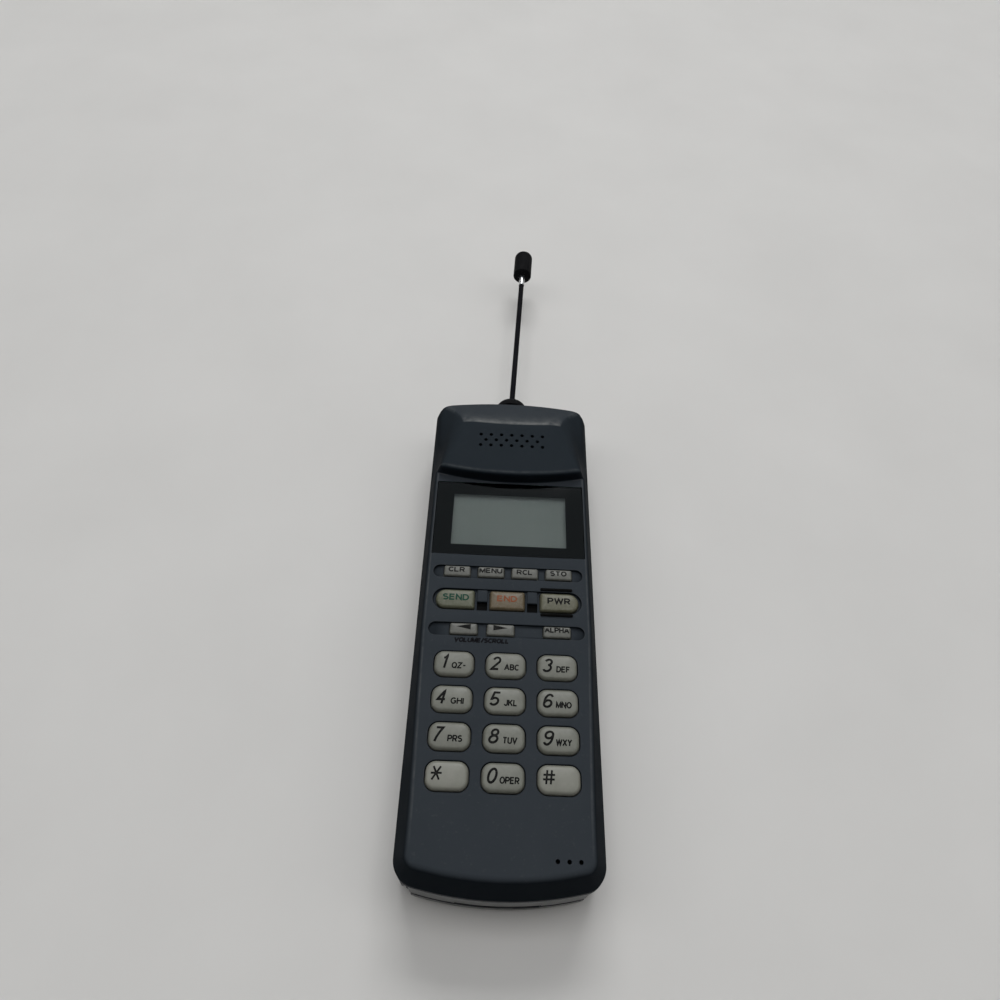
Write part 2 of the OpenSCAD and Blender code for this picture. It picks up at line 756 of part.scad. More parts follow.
module earpiece_gasket() color([0.1, 0.1, 0.1]) translate([0, sound_y, 0])
    between(speaker_top, ear_ceiling) difference() {
        pill(sound_w + 2 * horn_r, 2 * horn_r);
        pill(sound_w + 2 * (horn_r - gasket_wall), 2 * (horn_r - gasket_wall));
    }

module speaker_cup() color([0.7, 0.7, 0.68]) translate([0, sound_y, 0])
    between(board_top, speaker_top - speaker_t) difference() {
        circle(speaker_r);
        circle(speaker_r - cup_wall);
    }

module microphone() color([0.7, 0.7, 0.72]) translate([mic_x, boot_y, 0])
    between(board_top, board_top + mic_t) circle(mic_r);

module microphone_boot() color([0.12, 0.12, 0.12]) translate([mic_x, boot_y, 0]) difference() {
    between(board_top, ceiling_z) pill(boot_w, 2 * boot_r);
    between(board_top - past, board_top + mic_t) circle(mic_r);
    between(board_top + mic_t - slice, ceiling_z + past)
        pill(boot_w - 2 * boot_wall, 2 * (boot_r - boot_wall));
}

module keypad_mat() color([0.35, 0.36, 0.36]) difference() {
    union() {
        box(0, mat_w, screw_low_y + boss_r + mat_gap, upper_row_y + fun_d, board_top, board_top + mat_t);
        for (k = KEYS) translate([k[1], k[2], 0])
            between(board_top, collar_top) circle(stem_r + stem_gap + collar_wall);
    }
    for (k = KEYS) translate([k[1], k[2], 0])
        between(board_top - past, collar_top + past) circle(stem_r + stem_gap);
}

module main_board() color([0.1, 0.35, 0.2]) difference() {
    between(board_z, board_top) outline_part(board_in, 0, body_l - board_end_l);
    at_screws() between(board_z - past, board_top + past) circle(screw_r + head_gap);
}

module board_chips() color([0.1, 0.1, 0.1])
    for (column = [0 : chip_columns - 1], row = [0 : chip_rows - 1])
        translate([(column - (chip_columns - 1) / 2) * chip_pitch_x,
            shield_y + chip_space / 2 + (row + 0.5) * chip_pitch_y, board_z - chip_t])
            linear_extrude(chip_t)
                square([chip_pitch_x - chip_space, chip_pitch_y - chip_space], center = true);

module rf_shield() color([0.75, 0.76, 0.78]) difference() {
    box(0, shield_w, shield_y, shield_y + shield_l, shield_z, board_z);
    box(0, shield_w - 2 * shield_t, shield_y + shield_t, shield_y + shield_l - shield_t,
        shield_z + shield_t, board_z + past);
}

module ringer() color([0.15, 0.15, 0.16]) translate([ringer_x, sound_y, 0]) difference() {
    between(board_z - ringer_t, board_z) circle(ringer_r);
    between(board_z - ringer_t - past, board_z - ringer_t + ringer_hole_d) circle(ringer_hole_r);
}

module backup_cell() color([0.78, 0.78, 0.8]) translate([backup_x, sound_y, 0])
    between(board_z - backup_t, board_z) circle(backup_r);

module case_screws() color([0.5, 0.5, 0.52]) at_screws() difference() {
    union() {
        between(seat_z - screw_head_h, seat_z) circle(screw_head_r);
        between(seat_z - slice, screw_top) circle(screw_r);
    }
    for (turn = [0, 90]) rotate(turn)
        box(0, 2 * screw_r, -cross_w / 2, cross_w / 2,
            seat_z - screw_head_h - past, seat_z - screw_head_h / 2);
}

module antenna_whip() color([0.05, 0.05, 0.05]) along_antenna() {
    between(-whip_end, whip_l + socket_l) circle(whip_r);
    between(-whip_end, -neck_l - side_gap) circle(stop_r);
}

module antenna_ferrule() color([0.75, 0.76, 0.78]) along_antenna()
    between(ferrule_z, whip_l) difference() {
        circle(ferrule_r);
        circle(whip_r + fit_gap);
    }

module antenna_tip() color([0.05, 0.05, 0.05]) along_antenna() rotate_extrude() polygon(concat(
    [[0, whip_l + socket_l + fit_gap], [whip_r + fit_gap, whip_l + socket_l + fit_gap],
     [whip_r + fit_gap, whip_l], [tip_r - tip_edge, whip_l], [tip_r, whip_l + tip_edge]],
    arc([tip_r / 2, whip_l + tip_l - tip_r / 2], tip_r / 2, 0, 90, 2 * edge_n),
    [[0, whip_l + tip_l]]));

module antenna_bushing() color([0.06, 0.06, 0.06]) along_antenna() rotate_extrude() polygon(concat(
    [[whip_r + whip_gap, -neck_l], [neck_r, -neck_l], [neck_r, bushing_gap], [bushing_r, bushing_gap]],
    arc([whip_r + 2 * whip_gap, bushing_l - dome_r], dome_r, 0, 90, 2 * edge_n),
    [[whip_r + whip_gap, bushing_l]]));

module antenna_tube() color([0.8, 0.8, 0.78]) along_antenna()
    between(-tube_end, -neck_l - seat_gap) difference() {
        circle(tube_out_r);
        circle(tube_r);
    }

module antenna_clip() color([0.8, 0.7, 0.4]) along_antenna() {
    tab_top = board_z - seat_gap - antenna_z;
    between(-clip_back, clip_l - clip_back) difference() {
        circle(neck_r + fit_gap + clip_t);
        circle(neck_r + fit_gap);
    }
    translate([-clip_tab_w / 2, -tab_top, -neck_l - clip_tab_l])
        cube([clip_tab_w, clip_tab_t, clip_tab_l - fit_gap]);
}

// Space that the catch swings in
module latch_well(z0, z1) box(0, latch_w + 2 * latch_well_gap, latch_y - latch_half - latch_swing,
    latch_y + latch_half + latch_swing + latch_well_gap, z0, z1);

// Recess of the charging contacts in the end of the pack
module charge_well() box(charge_x, charge_w, -foot_out - past, charge_d, charge_z, lid_top + guide_d + past);

module battery_case() color([0.18, 0.19, 0.21]) difference() {
    union() {
        for (y = [0, -foot_out]) translate([0, y, 0]) back_edge(pack_top, 0, pack_l);
        between(pack_top - past, lid_z) intersection() {
            outline_part(rear_in, 0, pack_l);
            translate([-neck_half, 0]) square([2 * neck_half, pack_l]);
        }
    }
    box(0, tray_w, cell_y - cell_gap, cell_y + tray_l, pack_wall, lid_z + past);
    latch_well(-past, lid_z + past);
    charge_well();
    foot_notches(-past, pack_top + past);
    translate([0, latch_y, latch_z]) rotate([0, 90, 0])
        between(-latch_w / 2 - latch_well_wall, latch_w / 2 + latch_well_wall)
            circle(latch_pin_r + fit_gap);
}

module battery_lid() color([0.2, 0.21, 0.23]) difference() {
    union() {
        between(lid_z, lid_top) intersection() {
            outline_part(rear_in, 0, pack_l);
            translate([-lid_half, 0]) square([2 * lid_half, pack_l]);
        }
        between(lid_z, lid_top + guide_d) intersection() {
            outline_part(rear_in, 0, latch_y);
            translate([-guide_half, 0]) square([2 * guide_half, latch_y]);
        }
    }
    box(0, tooth_w + 2 * latch_well_gap, latch_y + latch_half - tooth_l - latch_well_gap,
        latch_y + latch_half + latch_swing + latch_well_gap, lid_z - past, lid_top + guide_d + past);
    for (x = contact_x)
        box(x, pad_w, contact_y - pad_d / 2, contact_y + pad_d / 2, lid_top - pad_t, lid_top + past);
    charge_well();
    foot_notches(lid_z - past, lid_top + past);
}

module battery_cells() color([0.55, 0.6, 0.65]) for (i = [0 : cell_count - 1])
    translate([0, cell_y + i * cell_pitch, pack_wall]) box(0, cell_w, 0, cell_d, 0, cell_t);

module battery_pads() color([0.85, 0.7, 0.35]) for (x = contact_x)
    box(x, pad_w - 2 * fit_gap, contact_y - pad_d / 2 + fit_gap, contact_y + pad_d / 2 - fit_gap,
        lid_top - pad_t, lid_top);

module charge_contacts() color([0.85, 0.7, 0.35]) for (i = [-1 : 1])
    box(charge_x + i * charge_w / 3, charge_w / 6, charge_d / 2, charge_d, charge_z, charge_z + spring_t);

module battery_springs() color([0.85, 0.7, 0.35]) for (x = contact_x) {
    box(x, spring_w, contact_y - spring_foot / 2, contact_y + spring_foot / 2, lid_top + seat_gap,
        lid_top + seat_gap + spring_t);
    box(x, spring_w, contact_y - spring_t / 2, contact_y + spring_t / 2, lid_top + seat_gap, board_z);
}

module battery_latch() color([0.17, 0.18, 0.2]) difference() {
    union() {
        across(latch_w) polygon([
            [latch_y - latch_half, latch_pad_z], [latch_y, latch_pad_z],
            [latch_y + latch_half, latch_nose_z], [latch_y + latch_half, latch_back_z],
            [latch_y - latch_half, latch_back_z]]);
        box(0, tooth_w, latch_y + latch_half - tooth_l, latch_y + latch_half, latch_back_z - past, tooth_z);
    }
    translate([0, latch_y, latch_z]) rotate([0, 90, 0])
        between(-latch_w, latch_w) circle(latch_pin_r + pin_gap);
}

module latch_pin() color([0.7, 0.7, 0.72]) translate([0, latch_y, latch_z]) rotate([0, 90, 0])
    between(fit_gap - latch_w / 2 - latch_well_wall, latch_w / 2 + latch_well_wall - fit_gap)
        circle(latch_pin_r);

module latch_spring() color([0.75, 0.75, 0.77]) {
    leaf_y = latch_y - latch_half / 2;
    half = latch_half / 2;
    low = latch_back_z + fit_gap;
    across(leaf_w) polygon([
        [leaf_y - half, lid_z], [leaf_y, low], [leaf_y + half, lid_z], [leaf_y + half - 2 * leaf_t, lid_z],
        [leaf_y, low + leaf_t], [leaf_y - half + 2 * leaf_t, lid_z]]);
}

// One key: its cap with a soft edge, the flange that keeps it in and the stem that meets the board
module key(k) color([0.8, 0.8, 0.76]) translate([k[1], k[2], 0]) {
    top = face_z + k[7];
    soft_r = min(key_edge_r, k[4] / 2 - 2 * least_r);
    hull() {
        between(flange_z, top - soft_r) polygon(key_outline(k, 0));
        for (i = [1 : edge_n]) {
            a = 90 * i / edge_n;
            z = top - soft_r + soft_r * sin(a);
            between(z - slice, z) polygon(key_outline(k, soft_r * (cos(a) - 1)));
        }
    }
    between(flange_z, flange_top) polygon(key_outline(k, key_gap + flange_reach));
    between(stem_z, flange_top) circle(stem_r);
}

placed() {
    front_shell();
    rear_shell();
    display_window();
    window_mask();
    lcd_panel();
    lcd_holder();
    lcd_light_guide();
    lcd_connectors();
    earpiece_speaker();
    earpiece_gasket();
    speaker_cup();
    microphone();
    microphone_boot();
    keypad_mat();
    main_board();
    board_chips();
    rf_shield();
    ringer();
    backup_cell();
    case_screws();
    antenna_whip();
    antenna_tip();
    antenna_ferrule();
    antenna_bushing();
    antenna_tube();
    antenna_clip();
    battery_case();
    battery_lid();
    battery_cells();
    battery_pads();
    charge_contacts();
    battery_springs();
    battery_latch();
    latch_pin();
    latch_spring();
    for (k = KEYS) key(k);
}
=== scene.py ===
from math import atan2, cos, pi, radians, sin, sqrt, tan

import bmesh
import bpy
import numpy as np
from mathutils import Matrix, Vector
from mathutils.geometry import delaunay_2d_cdt
from mathutils.kdtree import KDTree


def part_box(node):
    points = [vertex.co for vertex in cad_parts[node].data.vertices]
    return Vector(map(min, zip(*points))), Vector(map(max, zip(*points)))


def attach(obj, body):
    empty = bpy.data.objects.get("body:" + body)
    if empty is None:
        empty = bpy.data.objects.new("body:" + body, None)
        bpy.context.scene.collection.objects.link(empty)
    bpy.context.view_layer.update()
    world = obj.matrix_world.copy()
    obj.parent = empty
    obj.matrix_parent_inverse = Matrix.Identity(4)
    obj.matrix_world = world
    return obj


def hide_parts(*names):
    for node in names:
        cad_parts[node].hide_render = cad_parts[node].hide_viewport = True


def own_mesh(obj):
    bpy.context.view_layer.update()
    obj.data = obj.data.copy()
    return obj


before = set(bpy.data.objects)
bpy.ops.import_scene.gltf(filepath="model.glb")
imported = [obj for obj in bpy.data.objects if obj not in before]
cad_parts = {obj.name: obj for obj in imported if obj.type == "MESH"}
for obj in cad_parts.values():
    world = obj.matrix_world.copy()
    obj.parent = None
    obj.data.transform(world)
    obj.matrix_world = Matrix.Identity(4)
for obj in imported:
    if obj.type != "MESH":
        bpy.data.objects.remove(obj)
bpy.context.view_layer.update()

MM = 0.001
SHARP_ANGLE = 40


def node_box(name):
    """Lowest and highest corner of a CAD node in millimetres."""
    low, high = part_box(name)
    return np.array(low) / MM, np.array(high) / MM


# Body
SHELL_LOW, SHELL_HIGH = node_box("front_shell")
HALF_W = SHELL_HIGH[0]
HALF_L = SHELL_HIGH[1]
SEAM_Z = SHELL_LOW[2]
EAR_Z = SHELL_HIGH[2]
FACE_Z = 28.0
FACE_T = 1.8
CEILING_Z = FACE_Z - FACE_T
EDGE_R = 1.1
SLOPE_Y = (-66.0, -12.0)
SIDE_SLOPE = (0.5, 0.325)
CORNER_R = 7.0
LOW_BOW_R = 105.0
TOP_BOW_R = 150.0
CORNER_X = HALF_W - CORNER_R
LOW_BOW_Y = LOW_BOW_R - HALF_L
TOP_BOW_Y = HALF_L - TOP_BOW_R
LOW_CORNER_Y = LOW_BOW_Y - sqrt((LOW_BOW_R - CORNER_R) ** 2 - CORNER_X ** 2)
TOP_CORNER_Y = TOP_BOW_Y + sqrt((TOP_BOW_R - CORNER_R) ** 2 - CORNER_X ** 2)
LOW_ANGLE = atan2(LOW_BOW_Y - LOW_CORNER_Y, CORNER_X)
TOP_ANGLE = atan2(TOP_CORNER_Y - TOP_BOW_Y, CORNER_X)
SEAM_REACH = 1.9
LOW_LINES_Y = -20.0
BOW_COUNT = 48
CORNER_COUNT = 24
SIDE_COUNT = 156
HEIGHT_STEPS = 40
MERGE_MM = 0.002

# Earpiece
EAR_LOW_Y = HALF_L - 42.7
EAR_BOW_R = 105.0
EAR_BOW_Y = EAR_LOW_Y + EAR_BOW_R
RIDGE_Y = HALF_L - 19.2
RIDGE_BOW = 1.3
EAR_LOW_HALF = 26.6
EAR_RIDGE_HALF = 18.2
BEVEL_Z = SEAM_Z + 3.1
BEVEL_IN = 1.0
EAR_DRAFT = tan(radians(5))
EAR_CROWN = 0.8
EAR_LAP = 0.3
EAR_LOW_R = 1.0
EAR_SIDE_R = (1.5, 4.0)
RIDGE_R = 0.8
EAR_WALL_R = 1.2
EAR_SPAN = (-0.5, 1.7)
EAR_ANGLE = 0.29
EAR_GRID = 0.5
EAR_GRID_X = 25.0
EAR_GRID_TOP = 4.0
EAR_GRID_IN = (4.6, 3.0)
FACET_FADE = 0.4
EAR_FILLET = 0.5

# Scuffs and painted highlights of the front shell
# Lighter colour on the earpiece's ridge, its lower edge and the face's side edges: partly scuffs,
# partly painted highlight.
RIDGE_WEAR_HIGHLIGHT_HALF = 19.5
RIDGE_WEAR_HIGHLIGHT_END = 2.0
RIDGE_FADE = 2.1
LOW_WEAR_HIGHLIGHT = 0.14
LOW_WEAR_HIGHLIGHT_IN = 1.5
LOW_WEAR_HIGHLIGHT_REACH = 0.4
EDGE_WEAR_HIGHLIGHT = 0.17
EDGE_WEAR_HIGHLIGHT_X = 22.0
EDGE_WEAR_HIGHLIGHT_Y = (-78.0, -64.0)
EDGE_UPRIGHT = (0.85, 0.93, 0.975, 0.995)
# Upright range over which steeply sloping walls fade from painted shade to none.
PAINTED_SHADE_RANGE = (0.6, 0.92)

# Openings in the face
WINDOW_Y = 28.85
WINDOW_W = 51.3
WINDOW_D = 29.6
WINDOW_R = 0.5
LEDGE_REACH = 0.4
CHANNEL_W = 48.8
CHANNEL_D = 4.3
CHANNEL_R = 2.1
CHANNEL_DROP = 0.9
UPPER_ROW_Y = 7.45
LOWER_ROW_Y = -13.0
CALL_W = 47.7
CALL_D = 7.4
CALL_END_R = 3.65
CALL_Y = -2.6
FILLER_X = 8.05
FILLER_W = 3.3
FILLER_D = 4.2
FILLER_DROP = 0.3
WELL_D = 3.1
WELL_Z = 26.3
WELL_IN = 0.15
WELL_R = 0.2
PAD_R = 0.3
FELT_T = 0.15
FELT_GAP = 0.05
RIB_X = 15.8
RIB_L = 10.4
RIB_T = 0.9
RIB_H = 0.7
RIB_R = 0.4
RIB_SPREAD = 4.5
SOUND_Y = HALF_L - 26.9
SOUND_R = 0.6
SOUND_PITCH_X = 3.75
SOUND_PITCH_Y = 2.45
SOUND_COUNTS = (7, 6, 7)
MIC_X = 18.1
MIC_Y = -78.1
MIC_R = 0.55
MIC_PITCH = 3.1
KEY_GAP = 0.2
LIP_R = 0.35
CHANNEL_LIP_R = 0.3
WINDOW_LIP_R = 0.25
SMALL_LIP_R = 0.15
FLOOR_LIP_R = 0.1
ROOT = 0.3
SKIN_SHARP = 42

# Leaf spring of the battery's catch
LEAF_T = 0.35

# Keys
FLANGE_REACH = 0.85
FLANGE_T = 0.9
FLANGE_TOP = CEILING_Z - 0.1
STEM_R = 1.6
SMALL_R = 0.7
DIGIT_R = 2.9
DIGIT_TRIM = (0.08, 0.12)
CALL_R = 3.15
SMALL_EDGE_R = 0.5
SMALL_CROWN = 0.25
CALL_EDGE_R = 0.8
CALL_CROWN = 0.4
DIGIT_EDGE_R = 1.0
DIGIT_CROWN = 0.55
# Keys darken towards their foot from this drop below the top, over this reach.
FOOT_DARK_DROP = 0.35
FOOT_DARK_REACH = 0.9
CAP_SHARP = 50

# Print
PRINT_LIFT = 0.03
LETTER_SPACE = 0.2
DIGIT_Y = 0.3
DIGIT_STYLE = {"height": 4.9, "stroke": 0.68, "slant": 0.24}
LETTER_Y = -0.85
LETTER_STYLE = {"height": 2.15, "stroke": 0.41, "slant": 0.06}
SIGN_SLANT = 0.1
ARROW_Y = 0.6
ARROW_L = 4.6
ARROW_H = 1.9
CAPTION_DROP = 3.6
CAPTION_W = 17.2
CAPTION_STYLE = {"height": 1.8, "stroke": 0.48, "slant": 0.15}


# Curves seen from above
def arc(x, y, r, start, end, count):
    """Points on an arc from start up to, but without, end."""
    angles = np.linspace(start, end, count, endpoint=False)
    return np.column_stack((x + r * np.cos(angles), y + r * np.sin(angles)))


def line(start, end, count):
    """Points on a line from start up to, but without, end."""
    return np.linspace(start, end, count, endpoint=False)


def outline(inset):
    """Outline of the body at a distance inside its widest one."""
    r = CORNER_R - inset
    x = HALF_W - inset
    return np.concatenate((
        arc(0, LOW_BOW_Y, LOW_BOW_R - inset, pi + LOW_ANGLE, 2 * pi - LOW_ANGLE, BOW_COUNT),
        arc(CORNER_X, LOW_CORNER_Y, r, -LOW_ANGLE, 0, CORNER_COUNT),
        line((x, LOW_CORNER_Y), (x, TOP_CORNER_Y), SIDE_COUNT),
        arc(CORNER_X, TOP_CORNER_Y, r, 0, TOP_ANGLE, CORNER_COUNT),
        arc(0, TOP_BOW_Y, TOP_BOW_R - inset, TOP_ANGLE, pi - TOP_ANGLE, BOW_COUNT),
        arc(-CORNER_X, TOP_CORNER_Y, r, pi - TOP_ANGLE, pi, CORNER_COUNT),
        line((-x, TOP_CORNER_Y), (-x, LOW_CORNER_Y), SIDE_COUNT),
        arc(-CORNER_X, LOW_CORNER_Y, r, pi, pi + LOW_ANGLE, CORNER_COUNT),
    ))


def rounded_box(x, y, w, d, left_r, right_r):
    """Outline of a rectangle with a corner radius for each side."""
    count = 12
    left = x - w / 2
    right = x + w / 2
    low = y - d / 2
    high = y + d / 2
    return np.concatenate((
        arc(left + left_r, low + left_r, left_r, pi, 1.5 * pi, count),
        line((left + left_r, low), (right - right_r, low), 4),
        arc(right - right_r, low + right_r, right_r, 1.5 * pi, 2 * pi, count),
        line((right, low + right_r), (right, high - right_r), 2),
        arc(right - right_r, high - right_r, right_r, 0, 0.5 * pi, count),
        line((right - right_r, high), (left + left_r, high), 4),
        arc(left + left_r, high - left_r, left_r, 0.5 * pi, pi, count),
        line((left, high - left_r), (left, low + left_r), 2),
    ))


# Heights of the front shell
def rounded_max(a, b, r):
    """The later of two faces, joined by a rounded outer edge."""
    return np.minimum(np.maximum(a, b), -r) + np.hypot(np.maximum(a + r, 0), np.maximum(b + r, 0))


def rounded_min(a, b, r):
    """The earlier of two faces, joined by a rounded inner edge."""
    return np.maximum(np.minimum(a, b), r) - np.hypot(np.maximum(r - a, 0), np.maximum(r - b, 0))


def inset_at(x, y):
    """Distance of points inside the body's outline."""
    across = np.abs(x)
    out_x = across - CORNER_X
    low_y = LOW_CORNER_Y - y
    top_y = y - TOP_CORNER_Y
    low = LOW_BOW_R - np.hypot(x, y - LOW_BOW_Y)
    top = TOP_BOW_R - np.hypot(x, y - TOP_BOW_Y)
    inset = np.minimum(HALF_W - across, np.minimum(low, top))
    in_low = (low_y > 0) & (out_x * sin(LOW_ANGLE) > low_y * cos(LOW_ANGLE))
    in_top = (top_y > 0) & (out_x * sin(TOP_ANGLE) > top_y * cos(TOP_ANGLE))
    inset = np.where(in_low, CORNER_R - np.hypot(out_x, low_y), inset)
    return np.where(in_top, CORNER_R - np.hypot(out_x, top_y), inset)


def ear_inset(x, y):
    """Distance of points inside the earpiece's bowed lower edge."""
    return EAR_BOW_R - np.hypot(x, y - EAR_BOW_Y)


def ridge_at(x):
    """Place of the earpiece's ridge along the body."""
    return RIDGE_Y + RIDGE_BOW * (x / EAR_RIDGE_HALF) ** 2


def ear_faces(x, y):
    """Height and slope of the earpiece's top, sides and end over points."""
    top_z = EAR_Z - EAR_CROWN * (x / EAR_LOW_HALF) ** 2
    along = np.clip((y - EAR_LOW_Y) / (RIDGE_Y - EAR_LOW_Y), *EAR_SPAN)
    half = EAR_LOW_HALF + (EAR_RIDGE_HALF - EAR_LOW_HALF) * along
    side_slope = (EAR_Z - BEVEL_Z) / (HALF_W - BEVEL_IN - half)
    side_z = BEVEL_Z + (HALF_W - BEVEL_IN - np.abs(x)) * side_slope
    end_y = TOP_BOW_Y + np.sqrt((TOP_BOW_R - BEVEL_IN) ** 2 - x ** 2)
    end_slope = (top_z - BEVEL_Z) / (end_y - ridge_at(x))
    end_z = BEVEL_Z + (end_y - y) * end_slope
    return (top_z, 0 * x), (side_z, side_slope), (end_z, end_slope)


def ear_facet(x, y):
    """Share of the facet between the earpiece's ridge and the upper end."""
    (top_z, _), (side_z, _), (end_z, _) = ear_faces(x, y)
    return np.clip((np.minimum(top_z, side_z) - end_z) / FACET_FADE, 0, 1)


def ear_field(x, y, z, wall):
    """Signed distance to the raised earpiece."""
    top, side, end = [(z - face_z) / np.sqrt(1 + slope ** 2) for face_z, slope in ear_faces(x, y)]
    low = EAR_DRAFT * (z - FACE_Z) - ear_inset(x, y)
    field = rounded_max(top, side, np.interp(y, (EAR_LOW_Y, RIDGE_Y), EAR_SIDE_R))
    field = rounded_max(field, end, RIDGE_R)
    field = rounded_max(field, low, EAR_LOW_R)
    return rounded_max(field, wall, EAR_WALL_R)


def shell_field(x, y, z):
    """Signed distance to the outside of the front shell."""
    slope = np.interp(y, SLOPE_Y, SIDE_SLOPE)
    wall = (slope * (z - SEAM_Z) - inset_at(x, y)) / np.sqrt(1 + slope ** 2)
    face = rounded_max(wall, z - FACE_Z, EDGE_R)
    face = np.maximum(face, ear_inset(x, y) - EAR_LAP)
    return rounded_min(face, ear_field(x, y, z, wall), EAR_FILLET)


def shell_height(x, y):
    """Height of the front shell's outside over points."""
    low = np.full(len(x), SEAM_Z - 1.0)
    high = np.full(len(x), EAR_Z + 1.0)
    for _ in range(HEIGHT_STEPS):
        middle = (low + high) / 2
        inside = shell_field(x, y, middle) < 0
        low = np.where(inside, middle, low)
        high = np.where(inside, high, middle)
    return np.maximum(low, SEAM_Z)


def shell_wear_and_highlight(x, y, upright):
    """Share of scuffs and painted highlight along the body's edges, the earpiece's ridge and its lower
    edge.
    """
    on_face = (shell_height(x, y) < FACE_Z + 0.1) & (np.abs(x) > EDGE_WEAR_HIGHLIGHT_X)
    bend = np.interp(upright, EDGE_UPRIGHT, (0, 1, 1, 0))
    edge = EDGE_WEAR_HIGHLIGHT * bend * on_face * np.interp(y, EDGE_WEAR_HIGHLIGHT_Y, (0, 1))
    ridge = np.exp((ridge_at(x) - y) / RIDGE_FADE) * ear_facet(x, y)
    ridge = ridge * np.clip((RIDGE_WEAR_HIGHLIGHT_HALF - np.abs(x)) / RIDGE_WEAR_HIGHLIGHT_END, 0, 1)
    low = LOW_WEAR_HIGHLIGHT * np.exp(-((ear_inset(x, y) - LOW_WEAR_HIGHLIGHT_IN) / LOW_WEAR_HIGHLIGHT_REACH) ** 2)
    low = low * (np.abs(x) < EAR_LOW_HALF)
    return np.clip(np.maximum(edge, np.maximum(ridge, low)), 0, 1)


def shell_ear_pad_shade(x, y):
    """Share of painted shade on the earpiece's pad where the ear rests."""
    return np.clip(ear_inset(x, y) / EAR_LAP, 0, 1) * (1 - ear_facet(x, y))


def shell_steep(upright):
    """Share of painted shade on steeply sloping walls."""
    return np.interp(upright, PAINTED_SHADE_RANGE, (1, 0))


# Meshes
def add_object(name, data):
    """An object in the scene."""
    made = bpy.data.objects.new(name, data)
    bpy.context.scene.collection.objects.link(made)
    return made


def finished_mesh(name, bm, sharp_angle=SHARP_ANGLE):
    """A smooth mesh in metres with sharp edges past an angle in degrees."""
    bmesh.ops.delete(bm, geom=[v for v in bm.verts if not v.link_faces], context="VERTS")
    bmesh.ops.scale(bm, vec=(MM, MM, MM), verts=bm.verts)
    mesh = bpy.data.meshes.new(name)
    bm.to_mesh(mesh)
    bm.free()
    mesh.shade_smooth()
    mesh.set_sharp_from_angle(angle=radians(sharp_angle))
    return mesh


def new_piece(name, bm, finish, body, sharp_angle=SHARP_ANGLE):
    """A piece of the phone that rides on a CAD body."""
    piece = add_object(name, finished_mesh(name, bm, sharp_angle))
    piece.data.materials.append(finish)
    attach(piece, body)
    return piece


def add_ring(bm, points, z):
    """Vertices of a ring at one height, or at one for each point."""
    heights = np.broadcast_to(z, len(points))
    return [bm.verts.new((x, y, h)) for (x, y), h in zip(points, heights)]


def add_strip(bm, first, second):
    """Faces between two rings with as many vertices."""
    count = len(first)
    for i in range(count):
        j = (i + 1) % count
        bm.faces.new((first[i], first[j], second[j], second[i]))


def add_soft_box(bm, low, high, r):
    """A box between two corners with rounded edges."""
    size = Vector(high) - Vector(low)
    place = Matrix.Translation((Vector(low) + Vector(high)) / 2) @ Matrix.Diagonal((*size, 1))
    made = bmesh.ops.create_cube(bm, size=1, matrix=place)
    edges = {edge for vert in made["verts"] for edge in vert.link_edges}
    bmesh.ops.bevel(bm, geom=list(edges), offset=r, segments=3, profile=0.5, affect="EDGES")


def lip_lines(loop_at, r):
    """Lines of an opening's rounded lip, each with its drop below the face."""
    lines = []
    for share in (0.12, 0.4, 0.7, 1.0):
        drop = r - r * sqrt(1 - (1 - share) ** 2)
        lines.append((loop_at(share * r), drop))
    return lines


def add_patch(bm, outer, openings, lines, points, height):
    """A face seen from above with openings, each a function of growth, a lip radius and a depth."""
    loops = [(outer, 0.0)] + [(loop_at(0), r) for loop_at, r, _ in openings]
    closed = [lip for loop_at, r, _ in openings for lip in lip_lines(loop_at, r)]
    closed = closed + [(ring, 0.0) for ring, is_ring in lines if is_ring]
    opened = [(curve, 0.0) for curve, is_ring in lines if not is_ring]
    places = []
    drops = []
    edges = []
    faces = []
    for group in (loops, closed, opened):
        for curve, drop in group:
            first = len(places)
            numbers = list(range(first, first + len(curve)))
            places.extend(curve)
            drops.extend([drop] * len(curve))
            edges.extend(zip(numbers[:-1], numbers[1:]))
            if group is not opened:
                edges.append((numbers[-1], numbers[0]))
            if group is loops:
                faces.append(numbers)
    places.extend(clear_points(places, points))
    result = delaunay_2d_cdt([Vector(p) for p in places], edges, faces, 0, 1e-5)
    found, _, triangles, sources, _, owners = result
    x, y = np.array(found).T
    drop_of = [max([drops[s] for s in group if s < len(drops)], default=0.0) for group in sources]
    verts = add_ring(bm, np.column_stack((x, y)), height(x, y) - np.array(drop_of))
    for triangle, owner in zip(triangles, owners):
        if list(owner) == [0]:
            bm.faces.new([verts[i] for i in triangle])
    number_of = {s: i for i, group in enumerate(sources) for s in group}
    for (_, _, floor_z), numbers in zip(openings, faces[1:]):
        rim = [verts[number_of[n]] for n in numbers]
        foot = add_ring(bm, np.array([v.co[:2] for v in rim]), floor_z)
        add_strip(bm, rim, foot)
    return [verts[number_of[n]] for n in faces[0]]


def clear_points(taken, points, space=0.3):
    """The points with some space to the ones taken."""
    tree = KDTree(len(taken))
    for i, (x, y) in enumerate(taken):
        tree.insert((x, y, 0), i)
    tree.balance()
    return [p for p in points if tree.find((p[0], p[1], 0))[2] > space]


def set_share(piece, name, values):
    """A share for each vertex, which a material reads."""
    layer = piece.data.attributes.new(name, "FLOAT", "POINT")
    layer.data.foreach_set("value", np.asarray(values, dtype=np.float32))


# Material nodes
def new_material(name, gloss=0.5):
    """A material of a gloss, with its tree and its shader."""
    material = bpy.data.materials.new(name)
    material.use_nodes = True
    tree = material.node_tree
    shader = tree.nodes["Principled BSDF"]
    shader.inputs["Specular IOR Level"].default_value = gloss
    return material, tree, shader


